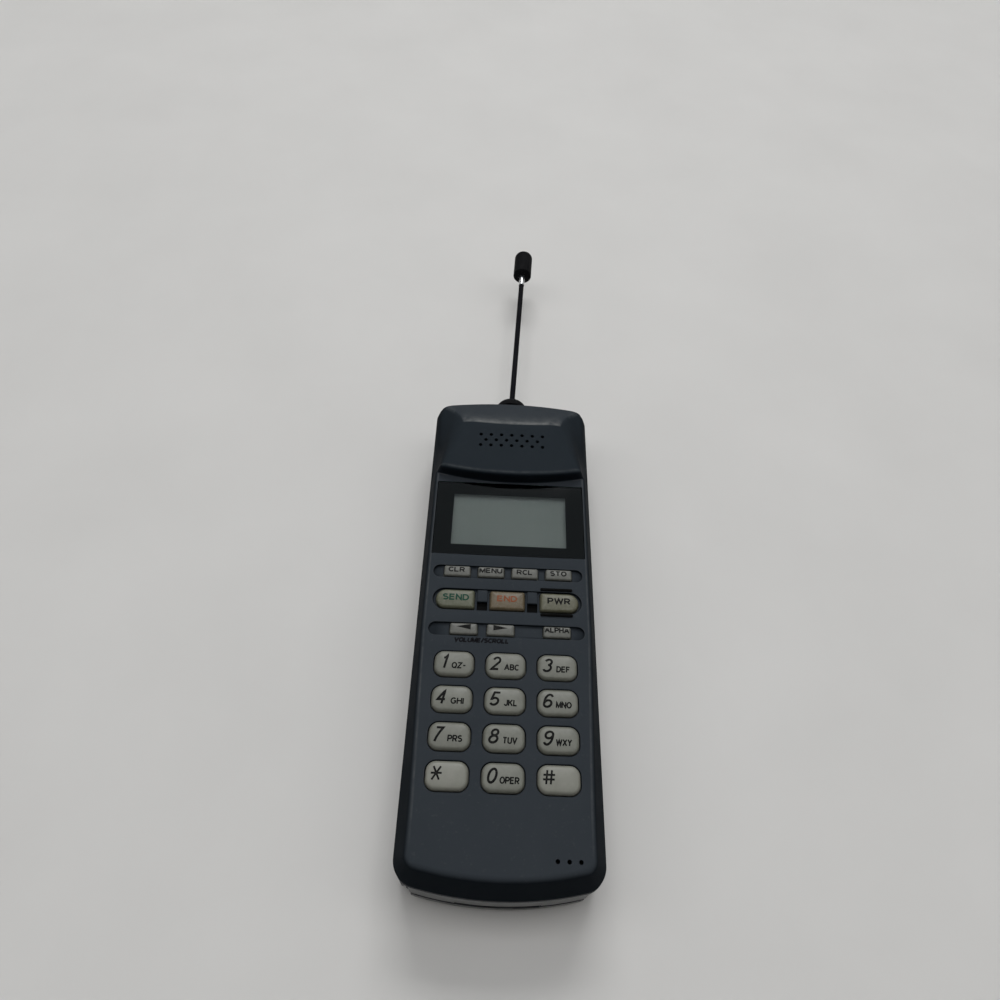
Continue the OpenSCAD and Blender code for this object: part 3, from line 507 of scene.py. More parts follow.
def set_inputs(node, values):
    """Fixed values of a node's inputs by name."""
    for name, value in values.items():
        node.inputs[name].default_value = value


def on_object(tree, node):
    """Places on the object as a node's vector."""
    place = tree.nodes.new("ShaderNodeTexCoord")
    tree.links.new(place.outputs["Object"], node.inputs["Vector"])


def noise(tree, size_mm, detail):
    """Noise from 0 to 1 with features of about a size."""
    texture = tree.nodes.new("ShaderNodeTexNoise")
    set_inputs(texture, {"Scale": 1 / (size_mm * MM), "Detail": detail})
    on_object(tree, texture)
    return texture.outputs["Fac"]


def spread(tree, value, low, high, to_low=0.0, to_high=1.0):
    """A value mapped from one range to another."""
    mapped = tree.nodes.new("ShaderNodeMapRange")
    set_inputs(mapped, {"From Min": low, "From Max": high, "To Min": to_low, "To Max": to_high})
    tree.links.new(value, mapped.inputs["Value"])
    return mapped.outputs["Result"]


def clouds(tree, size_mm, low=0.0, high=1.0, cut=(0.3, 0.7), detail=3.0):
    """Patches of about a size from a low to a high value, cut from a range of noise."""
    return spread(tree, noise(tree, size_mm, detail), *cut, low, high)


def product(tree, first, second):
    """The product of two values."""
    math = tree.nodes.new("ShaderNodeMath")
    math.operation = "MULTIPLY"
    tree.links.new(first, math.inputs[0])
    tree.links.new(second, math.inputs[1])
    return math.outputs["Value"]


def share(tree, name):
    """A share that the mesh keeps for each vertex."""
    attribute = tree.nodes.new("ShaderNodeAttribute")
    attribute.attribute_name = name
    return attribute.outputs["Fac"]


def colour_mix(tree, factor, first, second):
    """A colour between two, each a colour or a socket."""
    mix = tree.nodes.new("ShaderNodeMix")
    mix.data_type = "RGBA"
    tree.links.new(factor, mix.inputs["Factor"])
    sockets = [s for s in mix.inputs if s.type == "RGBA"]
    for source, target in zip((first, second), sockets):
        if isinstance(source, tuple):
            target.default_value = (*source, 1)
        else:
            tree.links.new(source, target)
    return [s for s in mix.outputs if s.type == "RGBA"][0]


def set_colour(tree, shader, factor, first, second):
    """The shader's colour, between two by a factor."""
    tree.links.new(colour_mix(tree, factor, first, second), shader.inputs["Base Color"])


def set_rough(tree, shader, size_mm, rough):
    """The shader's roughness in patches of a size, between two values."""
    tree.links.new(clouds(tree, size_mm, *rough), shader.inputs["Roughness"])


def grain(tree, shader, size_mm, depth_mm):
    """Fine relief of a size and a depth on the shader."""
    relief = tree.nodes.new("ShaderNodeBump")
    set_inputs(relief, {"Distance": depth_mm * MM})
    tree.links.new(noise(tree, size_mm, 2.0), relief.inputs["Height"])
    tree.links.new(relief.outputs["Normal"], shader.inputs["Normal"])


# Materials
def plastic(name, dark, light, rough, grain_mm, grain_depth, gloss=0.5):
    """Moulded plastic with patches of tone, a rough range and a fine grain."""
    material, tree, shader = new_material(name, gloss)
    set_colour(tree, shader, clouds(tree, 12), dark, light)
    set_rough(tree, shader, 4, rough)
    grain(tree, shader, grain_mm, grain_depth)
    return material


def shell_finish(name, dark, light, rough, gloss):
    """Charcoal ABS with a fine texture and dust in it, painted shade on the earpiece's pad and on
    steeply sloping walls, and lighter edges that are partly scuffs and partly painted highlight.
    """
    material, tree, shader = new_material(name, gloss)
    base = colour_mix(tree, clouds(tree, 22), dark, light)
    specks = clouds(tree, 1.1, 0.0, 0.22, (0.62, 0.74), 4.0)
    dusty = colour_mix(tree, specks, base, (0.07, 0.075, 0.078))
    # Painted shade: a darker tone on the earpiece's pad.
    ear_pad_shade = colour_mix(tree, share(tree, "ear_pad_shade"), dusty, (0.0195, 0.0255, 0.0315))
    # Painted shade: a darker tone on steeply sloping walls.
    with_painted_shade = colour_mix(tree, share(tree, "steep"), ear_pad_shade, (0.0066, 0.0096, 0.013))
    # Lighter ridge and edges: partly scuffs, partly painted highlight, in patches.
    worn_and_lit = product(tree, share(tree, "wear_and_highlight"), clouds(tree, 3, 0.0, 0.9, (0.15, 0.65), 2.0))
    set_colour(tree, shader, worn_and_lit, with_painted_shade, (0.245, 0.249, 0.242))
    set_rough(tree, shader, 7, rough)
    grain(tree, shader, 0.22, 0.02)
    return material


def key_finish(name, dark, light):
    """Light key plastic, mottled, yellowed in patches and darker, browner in patches towards its foot.
    """
    material, tree, shader = new_material(name)
    yellowed = colour_mix(tree, clouds(tree, 6), dark, light)
    mottle = clouds(tree, 0.9, 0.0, 0.1, (0.35, 0.65))
    base = colour_mix(tree, mottle, yellowed, (0.3, 0.3, 0.26))
    foot_dark = product(tree, share(tree, "foot"), clouds(tree, 1.2, 0.0, 0.45, (0.25, 0.6), 4.0))
    darker_foot = colour_mix(tree, foot_dark, base, (0.09, 0.084, 0.066))
    specks = clouds(tree, 0.7, 0.0, 0.4, (0.64, 0.72), 4.0)
    set_colour(tree, shader, specks, darker_foot, (0.2, 0.19, 0.16))
    set_rough(tree, shader, 3, (0.38, 0.52))
    grain(tree, shader, 0.3, 0.006)
    return material


def print_finish(name, colour, faded):
    """Printed ink, thinner where fingers rub it."""
    material, tree, shader = new_material(name, 0.1)
    set_colour(tree, shader, clouds(tree, 0.5, 0.0, 1.0, (0.5, 0.8), 4.0), colour, faded)
    set_rough(tree, shader, 2, (0.55, 0.7))
    return material


def window_finish():
    """Polished clear acrylic with faint hazy scratches."""
    material, tree, shader = new_material("window_finish")
    set_inputs(shader, {"Base Color": (0.86, 0.89, 0.89, 1), "Transmission Weight": 1.0, "IOR": 1.49})
    set_rough(tree, shader, 9, (0.02, 0.05))
    return material


def lcd_finish():
    """Grey-green display glass, switched off, with faint rows of cells."""
    material, tree, shader = new_material("lcd_finish", 0.15)
    cells = tree.nodes.new("ShaderNodeTexBrick")
    cells.offset = 0.0
    set_inputs(cells, {"Scale": 1 / MM, "Brick Width": 2.9, "Row Height": 4.6})
    set_inputs(cells, {"Mortar Size": 0.18, "Mortar Smooth": 0.4, "Mortar": (0.273, 0.295, 0.276, 1)})
    set_inputs(cells, {"Color1": (0.258, 0.28, 0.262, 1), "Color2": (0.262, 0.284, 0.266, 1)})
    on_object(tree, cells)
    haze = clouds(tree, 16, 0.0, 0.4, (0.35, 0.7))
    set_colour(tree, shader, haze, cells.outputs["Color"], (0.28, 0.302, 0.288))
    set_rough(tree, shader, 5, (0.45, 0.55))
    return material


def metal(name, dark, light, rough, brush_mm):
    """Metal with brushed tone along its length."""
    material, tree, shader = new_material(name)
    stretch = tree.nodes.new("ShaderNodeMapping")
    set_inputs(stretch, {"Scale": (1.0, 0.12, 1.0)})
    on_object(tree, stretch)
    texture = tree.nodes.new("ShaderNodeTexNoise")
    set_inputs(texture, {"Scale": 1 / (brush_mm * MM), "Detail": 4.0})
    tree.links.new(stretch.outputs["Vector"], texture.inputs["Vector"])
    brushed = texture.outputs["Fac"]
    set_colour(tree, shader, spread(tree, brushed, 0.3, 0.7), dark, light)
    tree.links.new(spread(tree, brushed, 0.3, 0.7, *rough), shader.inputs["Roughness"])
    set_inputs(shader, {"Metallic": 1.0})
    return material


def board_finish():
    """Green solder mask with faint tracks under it."""
    material, tree, shader = new_material("board_finish")
    tracks = tree.nodes.new("ShaderNodeTexVoronoi")
    tracks.feature = "DISTANCE_TO_EDGE"
    set_inputs(tracks, {"Scale": 1 / (3 * MM)})
    on_object(tree, tracks)
    lines = spread(tree, tracks.outputs["Distance"], 0.03, 0.08)
    set_colour(tree, shader, lines, (0.045, 0.17, 0.08), (0.018, 0.09, 0.045))
    set_rough(tree, shader, 4, (0.28, 0.4))
    return material


PLASTICS = {
    "mask": ((0.008, 0.009, 0.011), (0.011, 0.012, 0.014), (0.3, 0.4), 0.5, 0.002),
    "light_guide": ((0.7, 0.78, 0.72), (0.78, 0.84, 0.78), (0.2, 0.3), 0.6, 0.002),
    "inner_plastic": ((0.56, 0.55, 0.51), (0.66, 0.65, 0.61), (0.42, 0.55), 0.4, 0.008),
    "rubber_black": ((0.016, 0.016, 0.016), (0.026, 0.026, 0.026), (0.7, 0.85), 0.3, 0.015),
    "rubber_grey": ((0.19, 0.2, 0.2), (0.25, 0.26, 0.26), (0.62, 0.78), 0.3, 0.012),
    "speaker": ((0.04, 0.04, 0.045), (0.06, 0.06, 0.065), (0.35, 0.48), 0.4, 0.006),
    "chip": ((0.022, 0.022, 0.024), (0.036, 0.036, 0.038), (0.5, 0.65), 0.2, 0.01),
    "antenna_black": ((0.004, 0.004, 0.005), (0.007, 0.007, 0.008), (0.62, 0.74), 0.3, 0.01, 0.05),
    "whip_black": ((0.004, 0.004, 0.006), (0.007, 0.007, 0.009), (0.55, 0.68), 0.5, 0.004, 0.04),
    # Matt black: felt over the microphone, and painted shade on the guard ribs and the floors of the
    # wells.
    "felt": ((0.002, 0.002, 0.002), (0.005, 0.005, 0.005), (0.9, 1.0), 0.4, 0.03, 0.1),
}
METALS = {
    "bright_metal": ((0.58, 0.59, 0.61), (0.78, 0.79, 0.81), (0.2, 0.34), 0.6),
    "screw_steel": ((0.34, 0.34, 0.35), (0.48, 0.48, 0.49), (0.3, 0.45), 0.5),
    "gold": ((0.72, 0.52, 0.2), (0.86, 0.66, 0.3), (0.2, 0.32), 0.5),
    "cell": ((0.42, 0.47, 0.52), (0.56, 0.61, 0.66), (0.3, 0.42), 1.0),
}
KEY_TONES = {
    "key_grey": ((0.134, 0.138, 0.115), (0.168, 0.172, 0.147)),
    "key_sign": ((0.18, 0.182, 0.152), (0.225, 0.226, 0.196)),
    "key_small": ((0.076, 0.078, 0.068), (0.1, 0.102, 0.091)),
    "key_send": ((0.074, 0.08, 0.044), (0.096, 0.1, 0.062)),
    "key_end": ((0.08, 0.056, 0.024), (0.104, 0.074, 0.036)),
    "key_power": ((0.078, 0.076, 0.042), (0.1, 0.098, 0.062)),
}
SHELLS = {
    "shell": ((0.034, 0.0405, 0.048), (0.0375, 0.044, 0.0515), (0.52, 0.6), 0.02),
    "rear": ((0.0142, 0.0174, 0.0206), (0.0166, 0.0199, 0.0232), (0.3, 0.36), 0.5),
}


def all_finishes():
    """Every finish by name, which is that of its slot but for the black felt and painted shade,
    key_sign and rear.
    """
    finishes = {"window": window_finish(), "lcd": lcd_finish(), "board": board_finish()}
    kinds = ((plastic, PLASTICS), (metal, METALS), (key_finish, KEY_TONES), (shell_finish, SHELLS))
    for make, looks in kinds:
        for name, look in looks.items():
            finishes[name] = make(name + "_finish", *look)
    return finishes


FINISHES = all_finishes()
INK_BLACK = print_finish("ink_black", (0.004, 0.004, 0.004), (0.03, 0.03, 0.027))
INK_GREEN = print_finish("ink_green", (0.012, 0.052, 0.034), (0.03, 0.08, 0.055))
INK_RED = print_finish("ink_red", (0.215, 0.066, 0.03), (0.225, 0.105, 0.06))
INK_SHADE = print_finish("ink_shade", (0.002, 0.002, 0.004), (0.006, 0.006, 0.009))


# Keys
class Key:
    """Place, outline and heights of one key, taken from its CAD node."""

    def __init__(self, name, left_r, right_r, edge_r, crown, trim=(0, 0)):
        low, high = node_box(name)
        self.name = name
        self.x, self.y = (low[:2] + high[:2]) / 2
        self.w, self.d = high[:2] - low[:2] - 2 * FLANGE_REACH - 2 * np.array(trim)
        self.edge_r = edge_r
        self.crown = crown
        self.left_r = left_r
        self.right_r = right_r
        self.top_z = high[2]
        self.stem_z = low[2]
        self.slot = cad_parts[name].material_slots[0].material.name

    def loop(self, grow):
        """Outline grown by a distance."""
        left_r = max(self.left_r + grow, 0.05)
        right_r = max(self.right_r + grow, 0.05)
        return rounded_box(self.x, self.y, self.w + 2 * grow, self.d + 2 * grow, left_r, right_r)

    def inset_at(self, x, y):
        """Distance of points inside the outline."""
        r = np.where(x < self.x, self.left_r, self.right_r)
        out_x = np.abs(x - self.x) - self.w / 2 + r
        out_y = np.abs(y - self.y) - self.d / 2 + r
        beyond = np.hypot(np.maximum(out_x, 0), np.maximum(out_y, 0))
        return r - beyond - np.minimum(np.maximum(out_x, out_y), 0)

    def height(self, inset):
        """Height of the crowned top with its soft edge."""
        reach = np.clip(1 - inset / self.edge_r, 0, 1)
        drop = self.edge_r - self.edge_r * np.sqrt(1 - reach ** 2)
        sag = self.crown * np.clip(1 - 2 * inset / self.d, 0, 1) ** 2
        return self.top_z - drop - sag


SIGNS = ("key_star", "key_hash")
DIALS = tuple("key_" + digit for digit in "123456789") + ("key_star", "key_0", "key_hash")
UPPER_ROW = ("key_clear", "key_menu", "key_recall", "key_store")
CALL_ROW = ("key_send", "key_end", "key_power")
LOWER_ROW = ("key_left", "key_right", "key_alpha")


def all_keys():
    """Every key by name."""
    keys = {}
    for name in DIALS:
        keys[name] = Key(name, DIGIT_R, DIGIT_R, DIGIT_EDGE_R, DIGIT_CROWN, DIGIT_TRIM)
    for name in UPPER_ROW + LOWER_ROW:
        keys[name] = Key(name, SMALL_R, SMALL_R, SMALL_EDGE_R, SMALL_CROWN)
    for name, radii in zip(CALL_ROW, ((CALL_R, SMALL_R), (SMALL_R, SMALL_R), (SMALL_R, CALL_R))):
        keys[name] = Key(name, *radii, CALL_EDGE_R, CALL_CROWN)
    return keys


KEYS = all_keys()


def key_cap(key):
    """A key with its soft crowned top, flange and stem."""
    bm = bmesh.new()
    loop = key.loop(0)
    away = loop - (key.x, key.y)
    stem = (key.x, key.y) + STEM_R * away / np.hypot(away[:, 0], away[:, 1])[:, None]
    rings = [(stem, key.stem_z), (stem, FLANGE_TOP - FLANGE_T)]
    rings.append((key.loop(FLANGE_REACH), FLANGE_TOP - FLANGE_T))
    rings.append((key.loop(FLANGE_REACH), FLANGE_TOP))
    rings.append((loop, FLANGE_TOP))
    for share_in in (0, 0.02, 0.07, 0.16, 0.28, 0.44, 0.62, 0.82, 1.0):
        inset = share_in * key.edge_r
        rings.append((key.loop(-inset), key.height(inset)))
    for share_in in (0.2, 0.4, 0.6, 0.8, 0.95):
        inset = key.edge_r + share_in * (key.d / 2 - key.edge_r)
        rings.append((key.loop(-inset), key.height(inset)))
    made = [add_ring(bm, points, z) for points, z in rings]
    for first, second in zip(made[:-1], made[1:]):
        add_strip(bm, first, second)
    bm.faces.new(made[0][::-1])
    bm.faces.new(made[-1])
    finish = FINISHES["key_sign" if key.name in SIGNS else key.slot]
    piece = new_piece(key.name + "_cap", bm, finish, key.name, CAP_SHARP)
    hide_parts(key.name)
    heights = np.array([v.co.z for v in piece.data.vertices]) / MM
    set_share(piece, "foot", np.clip((key.top_z - FOOT_DARK_DROP - heights) / FOOT_DARK_REACH, 0, 1))


# Print on the keys
def bow(x, y, rx, ry, start, end):
    """Points on an ellipse between two angles in degrees."""
    angles = np.radians(np.linspace(start, end, max(int(abs(end - start) / 12), 2) + 1))
    return [(x + rx * cos(a), y + ry * sin(a)) for a in angles]


def turned_round(strokes):
    """A glyph turned by half a turn."""
    return [[(0.6 - x, 1.0 - y) for x, y in stroke] for stroke in strokes]


def glyphs():
    """Strokes of plain numbers and letters with a height of 1."""
    ring = [bow(0.34, 0.5, 0.28, 0.44, 90, 450)]
    bowl = bow(0.32, 0.69, 0.22, 0.25, 90, -90)
    head = [[(0.08, 0), (0.08, 0.94), (0.3, 0.94)] + bowl + [(0.08, 0.44)]]
    back = [(0.08, 0.06), (0.08, 0.94)]
    stem = [(0.08, 0), (0.08, 1)]
    six = [bow(0.3, 0.29, 0.23, 0.23, 90, 450), bow(0.33, 0.48, 0.26, 0.46, 40, 180) + [(0.07, 0.29)]]
    return {
        "0": [bow(0.3, 0.5, 0.24, 0.44, 90, 450)],
        "1": [[(0.1, 0.76), (0.2, 0.78), (0.29, 0.85), (0.33, 1.0), (0.33, 0)]],
        "2": [bow(0.3, 0.7, 0.23, 0.24, 165, -32) + [(0.06, 0.06), (0.56, 0.06)]],
        "3": [bow(0.28, 0.73, 0.2, 0.21, 160, -90), bow(0.28, 0.29, 0.23, 0.23, 90, -160)],
        "4": [[(0.43, 0), (0.43, 0.93), (0.06, 0.3), (0.6, 0.3)]],
        "5": [[(0.53, 0.94), (0.17, 0.94), (0.09, 0.47)] + bow(0.29, 0.3, 0.24, 0.24, 135, -155)],
        "6": six,
        "7": [[(0.05, 0.94), (0.55, 0.94), (0.38, 0.62), (0.25, 0.3), (0.19, 0)]],
        "8": [bow(0.3, 0.74, 0.19, 0.2, 90, 450), bow(0.3, 0.29, 0.24, 0.23, 90, 450)],
        "9": turned_round(six),
        "*": [[(0, 0.5), (0.6, 0.5)], [(0.1, 0), (0.5, 1)], [(0.1, 1), (0.5, 0)]],
        "#": [[(0.2, 0), (0.2, 1)], [(0.46, 0), (0.46, 1)],
              [(0, 0.66), (0.66, 0.66)], [(0, 0.34), (0.66, 0.34)]],
        "/": [[(0.02, -0.05), (0.32, 1.05)]],
        "-": [[(0.04, 0.48), (0.36, 0.48)]],
        "A": [[(0.02, 0), (0.31, 0.98), (0.6, 0)], [(0.13, 0.33), (0.49, 0.33)]],
        "B": [back + [(0.3, 0.94)] + bow(0.32, 0.73, 0.2, 0.21, 90, -90) + [(0.08, 0.52)],
              [(0.3, 0.52)] + bow(0.33, 0.29, 0.23, 0.23, 90, -90) + [(0.08, 0.06)]],
        "C": [bow(0.34, 0.5, 0.27, 0.44, 45, 315)],
        "D": [back + [(0.28, 0.94)] + bow(0.28, 0.5, 0.3, 0.44, 90, -90) + [(0.08, 0.06)]],
        "E": [[(0.52, 0.94), (0.08, 0.94), (0.08, 0.06), (0.53, 0.06)], [(0.08, 0.52), (0.48, 0.52)]],
        "F": [[(0.5, 0.94), (0.08, 0.94), (0.08, 0)], [(0.08, 0.5), (0.44, 0.5)]],
        "G": [bow(0.34, 0.5, 0.28, 0.44, 45, 325) + [(0.59, 0.46), (0.37, 0.46)]],
        "H": [stem, [(0.56, 0), (0.56, 1)], [(0.08, 0.52), (0.56, 0.52)]],
        "I": [stem],
        "J": [[(0.42, 1), (0.42, 0.28)] + bow(0.24, 0.28, 0.18, 0.22, 0, -180)],
        "K": [stem, [(0.56, 1), (0.08, 0.38)], [(0.26, 0.6), (0.58, 0)]],
        "L": [[(0.08, 1), (0.08, 0.06), (0.5, 0.06)]],
        "M": [[(0.08, 0), (0.08, 0.98), (0.37, 0.1), (0.66, 0.98), (0.66, 0)]],
        "N": [[(0.08, 0), (0.08, 0.97), (0.56, 0.03), (0.56, 1)]],
        "O": ring,
        "P": head,
        "Q": ring + [[(0.4, 0.24), (0.6, -0.02)]],
        "R": head + [[(0.32, 0.44), (0.56, 0)]],
        "S": [bow(0.3, 0.73, 0.21, 0.21, 35, 270) + bow(0.3, 0.29, 0.23, 0.23, 90, -145)],
        "T": [[(0.02, 0.94), (0.56, 0.94)], [(0.29, 0.94), (0.29, 0)]],
        "U": [[(0.08, 1), (0.08, 0.3)] + bow(0.32, 0.3, 0.24, 0.24, 180, 360) + [(0.56, 1)]],
        "V": [[(0.02, 1), (0.3, 0.02), (0.58, 1)]],
        "W": [[(0.02, 1), (0.22, 0.02), (0.42, 0.95), (0.62, 0.02), (0.82, 1)]],
        "X": [[(0.02, 1), (0.56, 0)], [(0.56, 1), (0.02, 0)]],
        "Y": [[(0.02, 1), (0.29, 0.46), (0.56, 1)], [(0.29, 0.46), (0.29, 0)]],
        "Z": [[(0.04, 0.94), (0.54, 0.94), (0.04, 0.06), (0.56, 0.06)]],
    }


GLYPHS = glyphs()


def dense(stroke, space):
    """A stroke with points no further apart than a space, and none twice."""
    points = [np.array(stroke[0], dtype=float)]
    for end in stroke[1:]:
        start = points[-1]
        length = np.hypot(*(np.array(end) - start))
        if length > 1e-6:
            count = max(int(np.ceil(length / space)), 1)
            points.extend(start + (np.array(end) - start) * (i + 1) / count for i in range(count))
    return np.array(points)


def add_stroke(bm, points, width):
    """A flat ribbon of a width along points, mitred at its corners."""
    steps = np.diff(points, axis=0)
    steps = steps / np.hypot(steps[:, 0], steps[:, 1])[:, None]
    looped = np.hypot(*(points[0] - points[-1])) < 1e-6
    before = np.vstack((steps[-1:] if looped else steps[:1], steps))
    after = np.vstack((steps, steps[:1] if looped else steps[-1:]))
    middle = before + after
    middle = middle / np.maximum(np.hypot(middle[:, 0], middle[:, 1]), 0.2)[:, None]
    mitre = np.maximum((middle * before).sum(axis=1), 0.5)
    side = np.column_stack((-middle[:, 1], middle[:, 0])) * (width / 2 / mitre)[:, None]
    left = add_ring(bm, points + side, 0)
    right = add_ring(bm, points - side, 0)
    for i in range(len(points) - 1):
        bm.faces.new((right[i], right[i + 1], left[i + 1], left[i]))


def add_word(bm, word, x, y, width, height, stroke, slant=0.0):
    """Characters spread over a width and centred on a place."""
    at = 0.0
    strokes = []
    for character in word:
        shape = GLYPHS[character]
        low = min(px for line_ in shape for px, _ in line_)
        high = max(px for line_ in shape for px, _ in line_)
        strokes.extend([(px - low + at, py) for px, py in line_] for line_ in shape)
        at = at + high - low + LETTER_SPACE
    scale = np.array(((width - stroke) / (at - LETTER_SPACE), height - stroke))
    for line_ in strokes:
        points = dense((np.array(line_) - ((at - LETTER_SPACE) / 2, 0.5)) * scale, 0.4)
        points[:, 0] += points[:, 1] * slant
        add_stroke(bm, points + (x, y), stroke)


def add_arrow(bm, x, y, length, height, way):
    """A solid triangle that points to one side."""
    tip = x + way * length / 2
    shares = np.linspace(0, 1, 9)
    for across in np.linspace(-1, 1, 5)[:-1]:
        rows = []
        for edge in (across, across + 0.5):
            spots = [(tip - way * length * t, y + edge * t * height / 2) for t in shares[1:]]
            rows.append(add_ring(bm, spots, 0))
        first = bm.verts.new((tip, y, 0))
        bm.faces.new((first, rows[0][0], rows[1][0]))
        for i in range(len(shares) - 2):
            bm.faces.new((rows[0][i], rows[0][i + 1], rows[1][i + 1], rows[1][i]))


def lay_print(bm, name, ink, body, height_at):
    """Flat print laid a little above a surface, facing up."""
    x, y, _ = np.array([v.co for v in bm.verts]).T
    for vert, z in zip(bm.verts, height_at(x, y)):
        vert.co.z = z + PRINT_LIFT
    bm.normal_update()
    for face in bm.faces:
        if face.normal.z < 0:
            face.normal_flip()
    new_piece(name, bm, ink, body)


def key_print(name, ink, draw):
    """Print on one key: draw adds its flat forms round the key's middle."""
    key = KEYS[name]
    bm = bmesh.new()
    draw(bm)
    bmesh.ops.translate(bm, vec=(key.x, key.y, 0), verts=bm.verts)
    lay_print(bm, name + "_print", ink, name, lambda x, y: key.height(key.inset_at(x, y)))


def dial_print(digit, letters, digit_x, letters_x):
    """A digit and its dial letters, each between two places across the key."""
    def draw(bm):
        add_word(bm, digit, sum(digit_x) / 2, DIGIT_Y, digit_x[1] - digit_x[0], **DIGIT_STYLE)
        add_word(bm, letters, sum(letters_x) / 2, LETTER_Y, letters_x[1] - letters_x[0], **LETTER_STYLE)
    key_print("key_" + digit, INK_BLACK, draw)


def arrow_print(name, x, way):
    """An arrow on a key."""
    key_print(name, INK_BLACK, lambda bm: add_arrow(bm, x, ARROW_Y, ARROW_L, ARROW_H, way))


def all_prints():
    """The print on every key."""
    dials = {
        "1QZ-": (-3.7, -2.1, -0.7, 3.7),
        "2ABC": (-4.3, -1.5, -0.5, 4.0),
        "3DEF": (-4.3, -1.5, -0.4, 3.8),
        "4GHI": (-4.3, -1.4, -0.3, 3.6),
        "5JKL": (-4.3, -1.5, -0.3, 3.7),
        "6MNO": (-4.3, -1.5, -0.7, 4.0),
        "7PRS": (-4.5, -1.9, -0.5, 3.8),
        "8TUV": (-4.3, -1.4, -0.5, 3.8),
        "9WXY": (-4.3, -1.5, -0.9, 3.8),
        "0OPER": (-4.4, -1.6, -1.0, 4.6),
    }
    for text, spans in dials.items():
        dial_print(text[0], text[1:], spans[:2], spans[2:])
    words = {
        "key_star": (INK_BLACK, "*", -2.9, 0.45, 3.6, 4.2, 0.55, SIGN_SLANT),
        "key_hash": (INK_BLACK, "#", -2.9, 0.45, 3.8, 4.4, 0.55, SIGN_SLANT),
        "key_clear": (INK_BLACK, "CLR", -0.2, 0.4, 5.4, 2.1, 0.42),
        "key_menu": (INK_BLACK, "MENU", -0.1, 0.4, 7.5, 2.1, 0.42),
        "key_recall": (INK_BLACK, "RCL", -0.1, 0.3, 5.3, 2.1, 0.42),
        "key_store": (INK_BLACK, "STO", -0.1, 0.3, 5.4, 2.1, 0.42),
        "key_alpha": (INK_BLACK, "ALPHA", -0.1, 0.6, 7.8, 2.1, 0.44),
        "key_send": (INK_GREEN, "SEND", 0.2, 0.3, 8.4, 2.5, 0.48),
        "key_end": (INK_RED, "END", -0.1, 0.4, 6.4, 2.4, 0.46),
        "key_power": (INK_BLACK, "PWR", -0.2, 0.3, 7.4, 2.5, 0.5),
    }
    for name, (ink, *look) in words.items():
        key_print(name, ink, lambda bm: add_word(bm, *look))
    arrow_print("key_left", -0.1, -1)
    arrow_print("key_right", 0, 1)


def volume_caption():
    """Caption on the face under the arrow keys."""
    bm = bmesh.new()
    middle = (KEYS["key_left"].x + KEYS["key_right"].x) / 2
    add_word(bm, "VOLUME/SCROLL", middle, LOWER_ROW_Y - CAPTION_DROP, CAPTION_W, **CAPTION_STYLE)
    lay_print(bm, "volume_print", INK_SHADE, "handset", lambda x, y: np.full(len(x), FACE_Z))


# Front shell
def ear_points():
    """Points spread over the earpiece."""
    across = np.arange(-EAR_GRID_X, EAR_GRID_X + 0.1, EAR_GRID)
    x, y = np.meshgrid(across, np.arange(EAR_LOW_Y, HALF_L - EAR_GRID_TOP, EAR_GRID))
    x = x.ravel()
    y = y.ravel()
    keep = (inset_at(x, y) > EAR_GRID_IN[0]) & (ear_inset(x, y) > EAR_GRID_IN[1])
    return list(zip(x[keep], y[keep]))


def ear_lines():
    """Lines along the earpiece's bowed lower edge."""
    insets = (-1.2, -0.6, -0.3, -0.12, 0, 0.1, 0.2, 0.3, 0.4, 0.52, 0.7, 0.95, 1.25, 1.6, 2, 2.5)
    angles = np.linspace(-EAR_ANGLE, EAR_ANGLE, 80)
    lines = []
    for inset in insets:
        r = EAR_BOW_R - inset
        curve = np.column_stack((r * np.sin(angles), EAR_BOW_Y - r * np.cos(angles)))
        lines.append((curve[inset_at(curve[:, 0], curve[:, 1]) > 0.1], False))
    return lines


def ridge_lines():
    """Lines along the earpiece's ridge."""
    x = np.linspace(-EAR_RIDGE_HALF, EAR_RIDGE_HALF, 60)
    return [(np.column_stack((x, ridge_at(x) + past)), False) for past in (-0.5, -0.25, 0.0, 0.25, 0.5)]


def low_lines():
    """Lines round the lower end, where the edge of the face lies further in."""
    lines = []
    for inset in (4.6, 4.85, 5.1, 5.4):
        ring = outline(inset)
        low = ring[:, 1] < LOW_LINES_Y
        first = np.argmin(low)
        last = len(low) - np.argmin(low[::-1])
        lines.append((np.concatenate((ring[last:], ring[:first])), False))
    return lines


def circle_at(x, y, r):
    """A circle as a function of growth."""
    return lambda grow: arc(x, y, r + grow, 0, 2 * pi, 20)


def box_at(x, y, w, d, r):
    """A rounded rectangle as a function of growth."""
    return lambda grow: rounded_box(x, y, w + 2 * grow, d + 2 * grow, r + grow, r + grow)


def key_opening(name, lip_r):
    """The opening that a key stands in."""
    return lambda grow: KEYS[name].loop(KEY_GAP + grow), lip_r, CEILING_Z


def hole_openings():
    """The sound holes and the microphone holes."""
    openings = []
    for row, count in enumerate(SOUND_COUNTS):
        for i in range(count):
            x = (i - (count - 1) / 2) * SOUND_PITCH_X
            y = SOUND_Y + (row - 1) * SOUND_PITCH_Y
            openings.append((circle_at(x, y, SOUND_R), SMALL_LIP_R, EAR_Z - FACE_T))
    for i in (-1, 0, 1):
        openings.append((circle_at(MIC_X + i * MIC_PITCH, MIC_Y, MIC_R), SMALL_LIP_R, CEILING_Z))
    return openings


def add_channel(bm, loop_at, names, wells=()):
    """Floor of a channel with the openings of its keys and its wells."""
    openings = [key_opening(name, FLOOR_LIP_R) for name in names] + list(wells)
    floor_z = FACE_Z - CHANNEL_DROP
    add_patch(bm, loop_at(0), openings, [], [], lambda x, y: np.full(len(x), floor_z))


